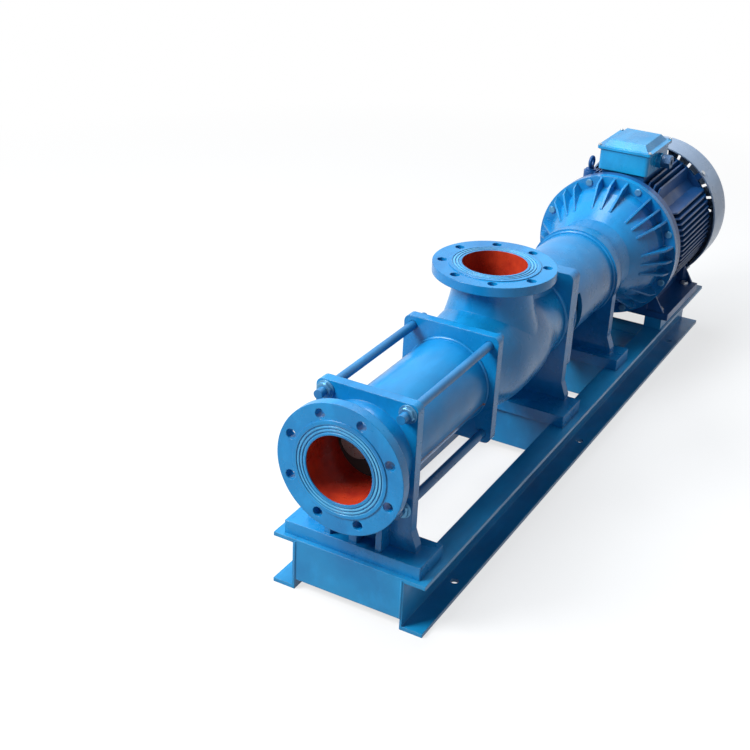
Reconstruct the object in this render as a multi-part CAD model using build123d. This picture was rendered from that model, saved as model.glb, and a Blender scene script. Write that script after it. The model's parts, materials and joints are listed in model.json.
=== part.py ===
"""Progressive cavity pump on a welded channel base, close coupled to a foot mounted electric motor.

The pump line lies along X. Liquid enters at the top flange and leaves at the discharge flange, at -X.
The motor is at +X. The origin is on the floor, under the middle of the base. Units are millimetres.
"""

from build123d import *
from math import atan2, cos, degrees, pi, sin, sqrt
import os

# ---- driving sizes -------------------------------------------------------------------------------
AXIS_HEIGHT = 360          # pump and motor axis above the floor

# pipe flanges, nominal bore 150, pressure class 10
FLANGE_OD = 285
FLANGE_THICK = 24
FLANGE_PCD = 240
FLANGE_HOLE = 22
FLANGE_HOLES = 8
PORT_BORE = 150
RAISED_FACE_OD = 212
RAISED_FACE_HEIGHT = 2
GROOVE_WIDTH = 3
GROOVE_DEPTH = 1.5
GROOVE_RADII = (82, 89, 96)

# clamp plates and tie rods
PLATE_THICK = 24
PLATE_HALF_WIDTH = 115
PLATE_HALF_HEIGHT = 130
PLATE_CORNER = 16
TIE_ROD_D = 20
TIE_ROD_Y = 93
TIE_ROD_Z = 108
TIE_ROD_OVERHANG = 30
ROD_CLEARANCE = 0.5
TIE_NUT = 30               # across the flats
TIE_NUT_HEIGHT = 16
WASHER_THICK = 3

# discharge casing
DISCHARGE_LENGTH = 124     # flange face to the back of its clamp plate
DISCHARGE_NECK_OD = 186
CASING_WALL = 13
DISCHARGE_FOOT_LENGTH = 100
DISCHARGE_FOOT_AT = 110    # discharge face to the middle of its foot

# rotor and stator
STATOR_PITCH = 342         # one stage: the stator is one pitch long
ECCENTRICITY = 13
ROTOR_RADIUS = 41
ROTOR_CLEARANCE = 0.4
STATOR_TUBE_OD = 196
STATOR_TUBE_WALL = 7
ROTOR_NOSE = 10            # rotor past the stator at the discharge end
ROTOR_TAIL = 70            # plain shank of the rotor past the stator, in the suction casing

# connecting rod and its two ball joints
SOCKET_OD = 96
SOCKET_LENGTH = 58
BALL_RADIUS = 28
ROD_SHANK_D = 36
ROTOR_BALL_AT = 30         # end of the rotor's tail to its ball
SHAFT_BALL_AT = 96         # shaft's ball to the bracket face
BALL_IN_SOCKET = 40        # ball to the closed end of its socket

# suction casing
SUCTION_LENGTH = 448       # outer face to outer face of its two end plates
SUCTION_BODY_OD = 214
SUCTION_BELLY_OD = 256      # the casing swells round the port
SUCTION_BELLY_HALF = 78
SUCTION_NECK_OD = 184
PORT_OFFSET = 209          # discharge side plate face to the port's axis
PORT_HEIGHT = 208          # port face above the pump axis
STUFFING_BOX_BORE = 84
STUFFING_BOX_OD = 128
STUFFING_BOX_LENGTH = 34
SUCTION_FOOT_LENGTH = 110
SUCTION_FOOT_AT = 52       # middle of the foot to the bracket face
PACKING_RINGS = 3
PACKING_WIDTH = 9
GLAND_DEPTH = 12

# feet and base
FOOT_HALF_WIDTH = 160
FOOT_BOLT_Y = 146
FOOT_BOLT_DEPTH = 18       # blind hole in the sole, from below
FOOT_THICK = 30
FOOT_BOLT_D = 12
RAIL_HEIGHT = 126
RAIL_FLANGE = 53
RAIL_WEB = 5.5
RAIL_FLANGE_THICK = 9
BASE_HALF_WIDTH = 180
BASE_START = 48            # discharge face to the base's front end
BASE_LENGTH = 1850
ANCHOR_HOLE = 18
ANCHOR_Y = 154
ANCHOR_INSET = 200
CROSS_WIDTH = 80
CROSS_HEIGHT = 100

# bearing bracket
BRACKET_LENGTH = 330
BRACKET_OD = 224
BRACKET_WALL = 12
BRACKET_ARCH_OD = 244
BRACKET_FOOT_AT = 312      # bracket face to the middle of its foot
BRACKET_FOOT_LENGTH = 90
BRACKET_RIB_LENGTH = 120
WINDOW_LENGTH = 46
SHAFT_D = 60
SLEEVE_D = 66
BEARING_OD = 130
BEARING_WIDTH = 31
BEARING_FRONT_AT = 112
BEARING_REAR_AT = 250

# bell housing
BELL_LENGTH = 232
BELL_SMALL_OD = 232
BELL_FLANGE_OD = 400
BELL_FLANGE_THICK = 20
BELL_WALL = 10
BELL_RIBS = 32             # every fourth one makes way for a bolt
BELL_NECK_LENGTH = 90      # small end to the start of the flare
BELL_RIB_AT = 120
BELL_FLARE_AT = 150

# shaft coupling
COUPLING_AT = 104          # bell's small end to the pump half
COUPLING_OD = 160
COUPLING_HALF = 36
COUPLING_GAP = 4
COUPLING_PINS = 6
COUPLING_PIN_RADIUS = 56   # coupling axis to each pin

# motor
MOTOR_CORE_R = 166
MOTOR_FIN_R = 195
FIN_THICK = 4
FIN_GAP = 15
FIN_COUNT = 15
FIN_CUT_BACK = 46
MOTOR_FLANGE_PCD = 370
MOTOR_FLANGE_BOLTS = 8
MOTOR_FLANGE_BOLT_D = 12
MOTOR_FLANGE_HOLE = 14
SHIELD_THICK = 22
COWL_OD = 418
COWL_LENGTH = 130
COWL_WALL = 2.5
MOTOR_SHAFT_D = 55
MOTOR_CENTRE_HEIGHT = 200
MOTOR_FOOT_Y = 159
MOTOR_FOOT_HALF_WIDTH = 192
MOTOR_FOOT_PITCH = 230
MOTOR_FOOT_END = 25        # foot bolt to the foot's end
MOTOR_FOOT_SET_BACK = 2    # front of the frame to the front feet
MOTOR_FRAME_SPARE = 20     # frame past the feet, both ends together
MOTOR_FRAME_LENGTH = MOTOR_FOOT_PITCH + 2 * MOTOR_FOOT_END + MOTOR_FRAME_SPARE
BOX_LENGTH = 176
BOX_WIDTH = 144
BOX_HEIGHT = 58
BOX_LID_HEIGHT = 24
BOX_AT = 12                # front of the motor frame to the box
BOX_SEAT = 4               # box above the tips of the fins
EYE_AT = 76                # front of the motor frame to the lifting eye
EYE_SIDE = 112
EYE_SEAT = 168             # motor axis to the eye's seat
MOTOR_CORE_BORE = 196
MOTOR_CORE_INSET = 50      # stator pack inside each end of the frame
MOTOR_PACK_INSET = 56      # rotor pack inside each end of the frame
AIR_GAP = 0.6
SHAFT_STEP_AT = 40         # end of the thick shaft ahead of the rear end of the frame
REAR_SHAFT_LENGTH = 62
DRIVE_BEARING_OD = 110
REAR_BEARING_OD = 90
FAN_SHAFT_D = 45
FAN_BLADES = 6
FAN_OD = 300
FAN_HUB_LENGTH = 34
GRILLE_SLOTS = 24
COWL_LUG_ANGLES = (45, 135, 225, 315)
COWL_LUG_LENGTH = 23       # rim of the rear shield to the cowl's outside
FIT_GAP = 0.3

# ---- stations along X, from the discharge face towards the motor -----------------------------------
X_FACE = -BASE_START - BASE_LENGTH / 2
X_STATOR = X_FACE + DISCHARGE_LENGTH
X_SUCTION = X_STATOR + STATOR_PITCH
X_PORT = X_SUCTION + PORT_OFFSET
X_BRACKET = X_SUCTION + SUCTION_LENGTH
X_BELL = X_BRACKET + BRACKET_LENGTH
X_MOTOR = X_BELL + BELL_LENGTH
X_FRAME = X_MOTOR + SHIELD_THICK
X_COWL = X_FRAME + MOTOR_FRAME_LENGTH
X_END = X_COWL + COWL_LENGTH
X_BASE = X_FACE + BASE_START
X_BASE_END = X_BASE + BASE_LENGTH
Z_BASE = RAIL_HEIGHT
FOOT_TOP = Z_BASE + FOOT_THICK
X_DISCHARGE_FOOT = X_FACE + DISCHARGE_FOOT_AT
X_SUCTION_FOOT = X_BRACKET - SUCTION_FOOT_AT
X_ROTOR_BALL = X_SUCTION + ROTOR_TAIL + ROTOR_BALL_AT
X_SHAFT_BALL = X_BRACKET - SHAFT_BALL_AT
X_ROTOR_SOCKET = X_ROTOR_BALL - BALL_IN_SOCKET
X_SHAFT_SOCKET = X_SHAFT_BALL + BALL_IN_SOCKET
X_FRONT_BEARING = X_BRACKET + BEARING_FRONT_AT
X_REAR_BEARING = X_BRACKET + BEARING_REAR_AT
X_COUPLING = X_BELL + COUPLING_AT
X_MOTOR_FEET = X_FRAME + MOTOR_FOOT_SET_BACK + MOTOR_FOOT_END + MOTOR_FOOT_PITCH / 2
X_EYE = X_FRAME + EYE_AT
Y_EYE = EYE_SIDE
Z_EYE = AXIS_HEIGHT + EYE_SEAT
X_BOX = X_FRAME + BOX_AT
Z_BOX = AXIS_HEIGHT + MOTOR_FIN_R + BOX_SEAT


# ---- helpers ---------------------------------------------------------------------------------------
def rod(x0, x1, radius, y=0.0, z=0.0):
    """A round bar along X; y and z are measured from the pump axis."""
    bar = Cylinder(radius, x1 - x0, align=(Align.CENTER, Align.CENTER, Align.MIN))
    return Pos(x0, y, AXIS_HEIGHT + z) * Rot(0, 90, 0) * bar


def ring(x0, x1, outer, inner, y=0.0, z=0.0):
    """A round sleeve along X."""
    return rod(x0, x1, outer, y, z) - rod(x0, x1, inner, y, z)


def upright(z0, z1, radius, x, y=0.0):
    """A round bar along Z; z0 and z1 are above the floor."""
    return Pos(x, y, z0) * Cylinder(radius, z1 - z0, align=(Align.CENTER, Align.CENTER, Align.MIN))


def block(x0, x1, y0, y1, z0, z1):
    """A box between two corners, z above the floor."""
    return Pos(x0, y0, z0) * Box(x1 - x0, y1 - y0, z1 - z0, align=(Align.MIN, Align.MIN, Align.MIN))


def turned(*points):
    """A body turned about the pump axis from (x, radius) points."""
    profile = make_face(Polyline(*[(x, AXIS_HEIGHT + r) for x, r in points], close=True))
    face = Plane.XZ * profile
    return revolve(face, Axis((0, 0, AXIS_HEIGHT), (1, 0, 0)), 360)


def section(outline, x0, x1):
    """A Y-Z outline, measured from the pump axis, drawn out along X."""
    plane = Plane(origin=(x0, 0, AXIS_HEIGHT), x_dir=(0, 1, 0), z_dir=(1, 0, 0))
    return extrude(plane * outline, x1 - x0)


def ring_spots(radius, count, start):
    """Points round a circle, as (first, second) axis offsets."""
    step = 2 * pi / count
    return [(radius * cos(start + step * k), radius * sin(start + step * k)) for k in range(count)]


def hex_x(x0, x1, across, y=0.0, z=0.0):
    """A hexagon bar along X, by its width across flats."""
    return section(Pos(y, z) * RegularPolygon(across / 2, 6, major_radius=False), x0, x1)


def hex_z(z0, z1, across, x, y):
    """A hexagon bar along Z, by its width across flats."""
    outline = RegularPolygon(across / 2, 6, major_radius=False)
    return extrude(Plane(origin=(x, y, z0)) * outline, z1 - z0)


def clamp_plate(x0, x1):
    """The rectangular plate that four tie rods pull against the stator."""
    outline = RectangleRounded(2 * PLATE_HALF_WIDTH, 2 * PLATE_HALF_HEIGHT, PLATE_CORNER)
    return section(outline, x0, x1)


def rod_spots():
    """Tie rod places, from the pump axis."""
    return [(sy * TIE_ROD_Y, sz * TIE_ROD_Z) for sy in (-1, 1) for sz in (-1, 1)]


def drilled(body, x0, x1, radius, spots):
    """The body with holes along X at (y, z) spots."""
    for y, z in spots:
        body -= rod(x0, x1, radius, y, z)
    return body


def foot_pad(x_mid, length):
    """The flat sole that stands on both rails, with its four bolt holes."""
    pad = block(x_mid - length / 2, x_mid + length / 2, -FOOT_HALF_WIDTH, FOOT_HALF_WIDTH, Z_BASE, FOOT_TOP)
    for x, y in foot_spots(x_mid, length):
        pad -= upright(Z_BASE, Z_BASE + FOOT_BOLT_DEPTH, FOOT_BOLT_D / 2, x, y)
    return pad


def foot_spots(x_mid, length):
    """Bolt places of a foot."""
    inset = 20
    return [(x_mid + s * (length / 2 - inset), y) for s in (-1, 1) for y in (-FOOT_BOLT_Y, FOOT_BOLT_Y)]


def pedestal(x0, x1, top):
    """The flared wall from a foot up to a round body; top is its height above the floor."""
    flare = 46
    half_top = PLATE_HALF_WIDTH
    half_foot = FOOT_BOLT_Y - 18
    outline = Polyline(
        (-half_foot, FOOT_TOP), (half_foot, FOOT_TOP), (half_foot, FOOT_TOP + 12),
        (half_top, FOOT_TOP + flare), (half_top, top), (-half_top, top),
        (-half_top, FOOT_TOP + flare), (-half_foot, FOOT_TOP + 12), close=True,
    )
    plane = Plane(origin=(x0, 0, 0), x_dir=(0, 1, 0), z_dir=(1, 0, 0))
    return extrude(plane * make_face(outline), x1 - x0)


# ---- flanges ---------------------------------------------------------------------------------------
def flange_disc():
    """A pipe flange lying flat, its sealing face up at z = 0, with the bore open."""
    disc = Pos(0, 0, -FLANGE_THICK) * Cylinder(
        FLANGE_OD / 2, FLANGE_THICK - RAISED_FACE_HEIGHT, align=(Align.CENTER, Align.CENTER, Align.MIN))
    disc += Pos(0, 0, -FLANGE_THICK) * Cylinder(
        RAISED_FACE_OD / 2, FLANGE_THICK, align=(Align.CENTER, Align.CENTER, Align.MIN))
    disc -= Pos(0, 0, -FLANGE_THICK) * Cylinder(
        PORT_BORE / 2, FLANGE_THICK, align=(Align.CENTER, Align.CENTER, Align.MIN))
    for radius in GROOVE_RADII:
        hung = (Align.CENTER, Align.CENTER, Align.MAX)
        groove = Cylinder(radius + GROOVE_WIDTH / 2, GROOVE_DEPTH, align=hung)
        groove -= Cylinder(radius - GROOVE_WIDTH / 2, GROOVE_DEPTH, align=hung)
        disc -= groove
    for x, y in ring_spots(FLANGE_PCD / 2, FLANGE_HOLES, pi / FLANGE_HOLES):
        disc -= Pos(x, y, -FLANGE_THICK) * Cylinder(
            FLANGE_HOLE / 2, FLANGE_THICK, align=(Align.CENTER, Align.CENTER, Align.MIN))
    return disc


# ---- discharge casing --------------------------------------------------------------------------------


def discharge_casing():
    """Flange, neck, clamp plate and foot in one casting."""
    x_plate = X_STATOR - PLATE_THICK
    plate = clamp_plate(x_plate, X_STATOR)
    flare = loft([
        Plane(origin=(X_FACE + FLANGE_THICK, 0, AXIS_HEIGHT), x_dir=(0, 1, 0), z_dir=(1, 0, 0))
        * Circle(DISCHARGE_NECK_OD / 2),
        Plane(origin=(x_plate, 0, AXIS_HEIGHT), x_dir=(0, 1, 0), z_dir=(1, 0, 0))
        * Circle(PLATE_HALF_WIDTH - 8),
    ])
    flange = Pos(X_FACE, 0, AXIS_HEIGHT) * Rot(0, -90, 0) * flange_disc()
    wall = pedestal(X_STATOR - PLATE_THICK, X_STATOR, AXIS_HEIGHT)
    rib = block(X_FACE + 66, x_plate, -9, 9, FOOT_TOP, AXIS_HEIGHT)
    side_ribs = [block(X_FACE + 66, x_plate, s * 60 - 7, s * 60 + 7, FOOT_TOP, AXIS_HEIGHT) for s in (-1, 1)]
    body = plate + flare + wall + rib + side_ribs[0] + side_ribs[1]
    body += foot_pad(X_DISCHARGE_FOOT, DISCHARGE_FOOT_LENGTH)
    chamber = rod(X_FACE, X_STATOR, PORT_BORE / 2)
    body -= chamber
    body += flange
    body -= rod(X_FACE, X_STATOR, PORT_BORE / 2)
    return drilled(body, x_plate, X_STATOR, TIE_ROD_D / 2 + ROD_CLEARANCE, rod_spots())


# ---- stator and rotor ------------------------------------------------------------------------------
def twisted(outline_face, x0, length, degrees):
    """A Y-Z face drawn along X while it turns about the pump axis."""
    return Solid.extrude_linear_with_rotation(
        outline_face, (x0, 0, AXIS_HEIGHT), (length, 0, 0), degrees)


def yz_face(outline, x0):
    """A flat outline set upright at x0, about the pump axis."""
    plane = Plane(origin=(x0, 0, AXIS_HEIGHT), x_dir=(0, 1, 0), z_dir=(1, 0, 0))
    return (plane * outline).face()


def stator_cavity():
    """The two start helical hollow: a slot 4 eccentricities longer than it is wide, one full turn."""
    slot = SlotCenterToCenter(4 * ECCENTRICITY, 2 * (ROTOR_RADIUS + ROTOR_CLEARANCE))
    return twisted(yz_face(slot, X_STATOR), X_STATOR, STATOR_PITCH, 360)


def stator_rubber():
    """The elastomer lining that the rotor seals against."""
    sleeve = rod(X_STATOR, X_SUCTION, STATOR_TUBE_OD / 2 - STATOR_TUBE_WALL)
    return sleeve - stator_cavity()


def stator_tube():
    """The steel tube that carries the lining."""
    return ring(X_STATOR, X_SUCTION, STATOR_TUBE_OD / 2, STATOR_TUBE_OD / 2 - STATOR_TUBE_WALL)


def rotor():
    """Single start screw with its shank and socket; its axis is one eccentricity off the stator's."""
    start = X_STATOR
    circle = Pos(ECCENTRICITY, 0) * Circle(ROTOR_RADIUS)
    screw = twisted(yz_face(circle, start), start, STATOR_PITCH, 720)
    screw = Pos(0, ECCENTRICITY, 0) * screw
    nose = rod(X_STATOR - ROTOR_NOSE, X_STATOR, ROTOR_RADIUS - 4, 2 * ECCENTRICITY, 0)
    shank = rod(X_SUCTION, X_SUCTION + ROTOR_TAIL, ROTOR_RADIUS - 12, ECCENTRICITY, 0)
    return screw + nose + shank + socket(X_ROTOR_SOCKET, X_ROTOR_BALL, ECCENTRICITY, 1)


def socket(x_back, x_ball, y, side):
    """A round joint cup, open towards side, with a ball seat round x_ball."""
    x_lip = x_back + side * SOCKET_LENGTH
    cup = rod(min(x_back, x_lip), max(x_back, x_lip), SOCKET_OD / 2, y, 0)
    seat = Pos(x_ball, y, AXIS_HEIGHT) * Sphere(BALL_RADIUS + FIT_GAP)
    mouth = rod(min(x_ball, x_lip), max(x_ball, x_lip), BALL_RADIUS + FIT_GAP, y, 0)
    return cup - seat - mouth


def connecting_rod():
    """Straight rod with a round head in each joint socket; it leans by one eccentricity over its length."""
    reach = X_SHAFT_BALL - X_ROTOR_BALL
    length = sqrt(reach ** 2 + ECCENTRICITY ** 2)
    neck = ROD_SHANK_D / 2
    shoulder = sqrt(BALL_RADIUS ** 2 - neck ** 2)
    side = BALL_RADIUS * sin(pi / 4)
    outline = [
        ThreePointArc((-BALL_RADIUS, 0), (-side, side), (0, BALL_RADIUS)),
        ThreePointArc((0, BALL_RADIUS), (BALL_RADIUS * 0.5, BALL_RADIUS * sin(pi / 3)), (shoulder, neck)),
        Line((shoulder, neck), (length - shoulder, neck)),
        ThreePointArc((length - shoulder, neck), (length - BALL_RADIUS * 0.5, BALL_RADIUS * sin(pi / 3)),
                      (length, BALL_RADIUS)),
        ThreePointArc((length, BALL_RADIUS), (length + side, side), (length + BALL_RADIUS, 0)),
        Line((length + BALL_RADIUS, 0), (-BALL_RADIUS, 0)),
    ]
    profile = Plane.XZ * make_face(Curve() + outline)
    straight = revolve(profile, Axis.X, 360)
    lean = degrees(atan2(ECCENTRICITY, reach))
    return Pos(X_ROTOR_BALL, ECCENTRICITY, AXIS_HEIGHT) * Rot(0, 0, -lean) * straight


def joint_boot(x_back, y, side):
    """The rubber cover over a joint's mouth; x_back is the back of the socket it sits on."""
    x_lip = x_back + side * (SOCKET_LENGTH + FIT_GAP)
    x_near = x_back + side * (SOCKET_LENGTH - 38)
    x_wall = x_lip + side * 6
    boot = ring(min(x_near, x_wall), max(x_near, x_wall), SOCKET_OD / 2 + 5, SOCKET_OD / 2 + FIT_GAP, y, 0)
    return boot + ring(min(x_lip, x_wall), max(x_lip, x_wall), SOCKET_OD / 2 + 5, ROD_SHANK_D / 2 + 6, y, 0)


def drive_shaft():
    """Shaft from the rear joint socket through the stuffing box and both bearings to the coupling."""
    shoulder = 74
    shaft = rod(X_SHAFT_SOCKET - 4, X_FRONT_BEARING - BEARING_WIDTH / 2, SLEEVE_D / 2)
    shaft += rod(X_FRONT_BEARING - BEARING_WIDTH / 2,
                 X_REAR_BEARING + BEARING_WIDTH / 2, SHAFT_D / 2)
    shaft += rod(X_FRONT_BEARING + BEARING_WIDTH / 2 + FIT_GAP,
                 X_REAR_BEARING - BEARING_WIDTH / 2 - FIT_GAP, shoulder / 2)
    shaft += rod(X_REAR_BEARING, X_COUPLING, MOTOR_SHAFT_D / 2)
    return shaft + socket(X_SHAFT_SOCKET, X_SHAFT_BALL, 0, -1)


# ---- tie rods --------------------------------------------------------------------------------------


def tie_rods():
    """Four long studs between the two clamp plates."""
    x0 = X_STATOR - PLATE_THICK - TIE_ROD_OVERHANG
    x1 = X_SUCTION + PLATE_THICK + TIE_ROD_OVERHANG
    return [rod(x0, x1, TIE_ROD_D / 2, y, z) for y, z in rod_spots()]


def tie_rod_nuts():
    """A washer and a nut at both ends of each tie rod."""
    parts = []
    for y, z in rod_spots():
        for x, side in ((X_STATOR - PLATE_THICK, -1), (X_SUCTION + PLATE_THICK, 1)):
            washer_end = x + side * WASHER_THICK
            nut_end = washer_end + side * TIE_NUT_HEIGHT
            nut = rod(min(x, washer_end), max(x, washer_end), TIE_ROD_D, y, z)
            nut += hex_x(min(washer_end, nut_end), max(washer_end, nut_end), TIE_NUT, y, z)
            parts.append(nut - rod(x - 60, x + 60, TIE_ROD_D / 2, y, z))
    return parts


# ---- suction casing ----------------------------------------------------------------------------------


def casing_barrel(x0, x1, thinner):
    """The swelling barrel; thinner is how far inside the outer surface it lies."""
    end = SUCTION_BODY_OD / 2 - thinner
    belly = SUCTION_BELLY_OD / 2 - thinner
    outline = [
        Line((x0, 0), (x0, end)),
        Line((x0, end), (x0 + 14, end)),
        Spline((x0 + 14, end), (X_PORT - SUCTION_BELLY_HALF, belly - 4), (X_PORT, belly),
               (X_PORT + SUCTION_BELLY_HALF, belly - 4), (x1 - 14, end), tangents=[(1, 0), (1, 0)]),
        Line((x1 - 14, end), (x1, end)),
        Line((x1, end), (x1, 0)),
        Line((x1, 0), (x0, 0)),
    ]
    barrel = revolve(Plane.XZ * make_face(Curve() + outline), Axis.X, 360)
    return Pos(0, 0, AXIS_HEIGHT) * barrel


def port_neck(z0, z1, foot_radius, top_radius):
    """A neck that widens on its way down into the barrel."""
    outline = [
        Line((0, z0), (foot_radius, z0)),
        Spline((foot_radius, z0), (top_radius + 8, z0 + (z1 - z0) * 0.52), (top_radius, z1),
               tangents=[(-0.25, 1), (0, 1)]),
        Line((top_radius, z1), (0, z1)),
        Line((0, z1), (0, z0)),
    ]
    neck = revolve(Plane.XZ * make_face(Curve() + outline), Axis.Z, 360)
    return Pos(X_PORT, 0, 0) * neck


def suction_casing():
    """Casing with the top port, the stator plate in front and the stuffing box behind."""
    x_front = X_SUCTION + PLATE_THICK
    x_rear = X_BRACKET - PLATE_THICK
    z_port = AXIS_HEIGHT + PORT_HEIGHT
    outer = casing_barrel(x_front, x_rear, 0)
    outer += port_neck(AXIS_HEIGHT + 30, z_port - FLANGE_THICK, SUCTION_BELLY_OD / 2 - 6, SUCTION_NECK_OD / 2)
    outer += clamp_plate(X_SUCTION, x_front)
    outer += clamp_plate(x_rear, X_BRACKET)
    outer += pedestal(x_rear, X_BRACKET, AXIS_HEIGHT)
    outer += foot_pad(X_SUCTION_FOOT, SUCTION_FOOT_LENGTH)
    outer += block(X_SUCTION_FOOT - SUCTION_FOOT_LENGTH / 2 + 6, x_rear, -9, 9, FOOT_TOP, AXIS_HEIGHT)
    outer += port_rib(-1, x_rear)
    outer += port_rib(1, x_rear)
    outer += rod(X_BRACKET, X_BRACKET + STUFFING_BOX_LENGTH, STUFFING_BOX_OD / 2)
    outer -= casing_barrel(x_front, x_rear - 4, CASING_WALL)
    outer -= rod(X_SUCTION, x_front, STATOR_TUBE_OD / 2 - STATOR_TUBE_WALL - 12)
    outer -= upright(AXIS_HEIGHT, z_port - FLANGE_THICK, PORT_BORE / 2, X_PORT)
    outer += Pos(X_PORT, 0, z_port) * flange_disc()
    outer -= rod(x_rear - 20, X_BRACKET + STUFFING_BOX_LENGTH, SLEEVE_D / 2 + 1)
    outer -= rod(X_BRACKET - 6, X_BRACKET + STUFFING_BOX_LENGTH, STUFFING_BOX_BORE / 2)
    return drilled(outer, X_SUCTION, x_front, TIE_ROD_D / 2 + ROD_CLEARANCE, rod_spots())


def port_rib(side, x_rear):
    """An upright web from the port's neck back to the rear plate."""
    z_top = AXIS_HEIGHT + PORT_HEIGHT - FLANGE_THICK
    points = [(X_PORT + 50, AXIS_HEIGHT + 96), (x_rear + 4, AXIS_HEIGHT + 60),
              (x_rear + 4, AXIS_HEIGHT + PLATE_HALF_HEIGHT - 4), (X_PORT + 74, z_top)]
    face = Plane(origin=(0, side * 62 + 6, 0), x_dir=(1, 0, 0), z_dir=(0, -1, 0)) * make_face(
        Polyline(*points, close=True))
    return extrude(face, 12)


# ---- stuffing box ------------------------------------------------------------------------------------


def packing_rings():
    """Square braided rings round the shaft."""
    x = X_BRACKET - 6
    rings = []
    for k in range(PACKING_RINGS):
        x0 = x + k * PACKING_WIDTH
        x1 = x0 + PACKING_WIDTH - FIT_GAP / 2
        rings.append(ring(x0, x1, STUFFING_BOX_BORE / 2, SLEEVE_D / 2 + FIT_GAP / 2))
    return rings


def packing_gland():
    """The follower that squeezes the packing, with an ear for each stud."""
    x_in = X_BRACKET - 6 + PACKING_RINGS * PACKING_WIDTH
    x_lip = X_BRACKET + STUFFING_BOX_LENGTH + 3
    nose = ring(x_in, x_lip, STUFFING_BOX_BORE / 2 - FIT_GAP, SLEEVE_D / 2 + 1)
    ears = section(SlotCenterToCenter(106, 46), x_lip, x_lip + GLAND_DEPTH)
    ears -= rod(x_lip, x_lip + GLAND_DEPTH, SLEEVE_D / 2 + 1)
    ears += ring(x_lip, x_lip + GLAND_DEPTH, STUFFING_BOX_BORE / 2, SLEEVE_D / 2 + 1)
    return drilled(nose + ears, x_lip, x_lip + GLAND_DEPTH, 5.5, [(-53, 0), (53, 0)])


def gland_studs():
    """Two studs and nuts that pull the gland in."""
    x0 = X_BRACKET + STUFFING_BOX_LENGTH
    x_ear = x0 + 3 + GLAND_DEPTH
    return [rod(x0, x_ear + 14, 5, y, 0) + hex_x(x_ear, x_ear + 8, 17, y, 0) for y in (-53, 53)]


# ---- bearing bracket ---------------------------------------------------------------------------------


def bearing_bracket():
    """Cast barrel with a front plate, gland windows, two bearing seats and a foot at the motor end."""
    x_end = X_BELL
    outer = rod(X_BRACKET, x_end, BRACKET_OD / 2) + clamp_plate(X_BRACKET, X_BRACKET + 20)
    outer += pedestal(X_BRACKET + BRACKET_FOOT_AT - 14, X_BRACKET + BRACKET_FOOT_AT + 14, AXIS_HEIGHT)
    x_foot = X_BRACKET + BRACKET_FOOT_AT
    outer += block(x_foot - BRACKET_RIB_LENGTH, x_foot, -9, 9, FOOT_TOP, AXIS_HEIGHT)
    outer += foot_pad(X_BRACKET + BRACKET_FOOT_AT, BRACKET_FOOT_LENGTH)
    outer += rod(X_BRACKET + BRACKET_FOOT_AT - 14, X_BRACKET + BRACKET_FOOT_AT + 14, BRACKET_ARCH_OD / 2)
    outer += rod(x_end - 18, x_end, BELL_SMALL_OD / 2)
    x_seat = X_FRONT_BEARING - BEARING_WIDTH / 2
    outer -= rod(X_BRACKET, x_seat - 16, BRACKET_OD / 2 - BRACKET_WALL)
    outer -= rod(x_seat - 16, x_seat, SHAFT_D / 2 + 18)
    outer -= rod(x_seat, X_REAR_BEARING + BEARING_WIDTH / 2 + 6, BEARING_OD / 2)
    outer -= rod(X_REAR_BEARING + BEARING_WIDTH / 2 + 6, x_end, BRACKET_OD / 2 - BRACKET_WALL)
    for side in (-1, 1):
        y0, y1 = sorted((side * 40, side * 140))
        x_window = X_BRACKET + 28
        outer -= block(x_window, x_window + WINDOW_LENGTH, y0, y1, AXIS_HEIGHT - 48, AXIS_HEIGHT + 48)
    return outer


def bearing(x_mid):
    """A ball bearing: outer ring and balls; the inner ring is made apart, because it turns."""
    x0 = x_mid - BEARING_WIDTH / 2
    x1 = x_mid + BEARING_WIDTH / 2
    return ring(x0, x1, BEARING_OD / 2, BEARING_OD / 2 - 11)


def inner_ring(x_mid):
    """The turning ring of a bearing, on the shaft."""
    x0 = x_mid - BEARING_WIDTH / 2
    x1 = x_mid + BEARING_WIDTH / 2
    return ring(x0, x1, SHAFT_D / 2 + 11, SHAFT_D / 2)


def bearing_balls(x_mid):
    """The balls between the two rings."""
    pitch = (BEARING_OD / 2 - 11 + SHAFT_D / 2 + 11) / 2
    ball = (BEARING_OD / 2 - 11 - SHAFT_D / 2 - 11) / 2 - FIT_GAP
    return [Pos(x_mid, y, AXIS_HEIGHT + z) * Sphere(ball) for y, z in ring_spots(pitch, 9, 0.2)]


def bearing_cover():
    """The cap that holds the rear bearing, bolted inside the bracket."""
    x0 = X_REAR_BEARING + BEARING_WIDTH / 2
    return ring(x0, x0 + 6, BEARING_OD / 2 - FIT_GAP, SHAFT_D / 2 + 4) + ring(
        x0 + 6, x0 + 14, BEARING_OD / 2 + 18, SHAFT_D / 2 + 4)


# ---- coupling ----------------------------------------------------------------------------------------


def coupling_half(x_gap, side):
    """A coupling hub: side is -1 for the pump half and 1 for the motor half."""
    x_disc = x_gap + side * COUPLING_HALF
    x_hub = x_gap + side * (COUPLING_HALF + 34)
    bore = MOTOR_SHAFT_D / 2
    boss = bore + 12
    hub = rod(min(x_gap, x_disc), max(x_gap, x_disc), COUPLING_OD / 2)
    hub += rod(min(x_disc, x_hub), max(x_disc, x_hub), boss)
    hub -= rod(min(x_gap, x_hub), max(x_gap, x_hub), bore)
    hole = 9 if side < 0 else 13
    return drilled(hub, min(x_gap, x_disc), max(x_gap, x_disc), hole, ring_spots(COUPLING_PIN_RADIUS, COUPLING_PINS, 0))


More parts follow.
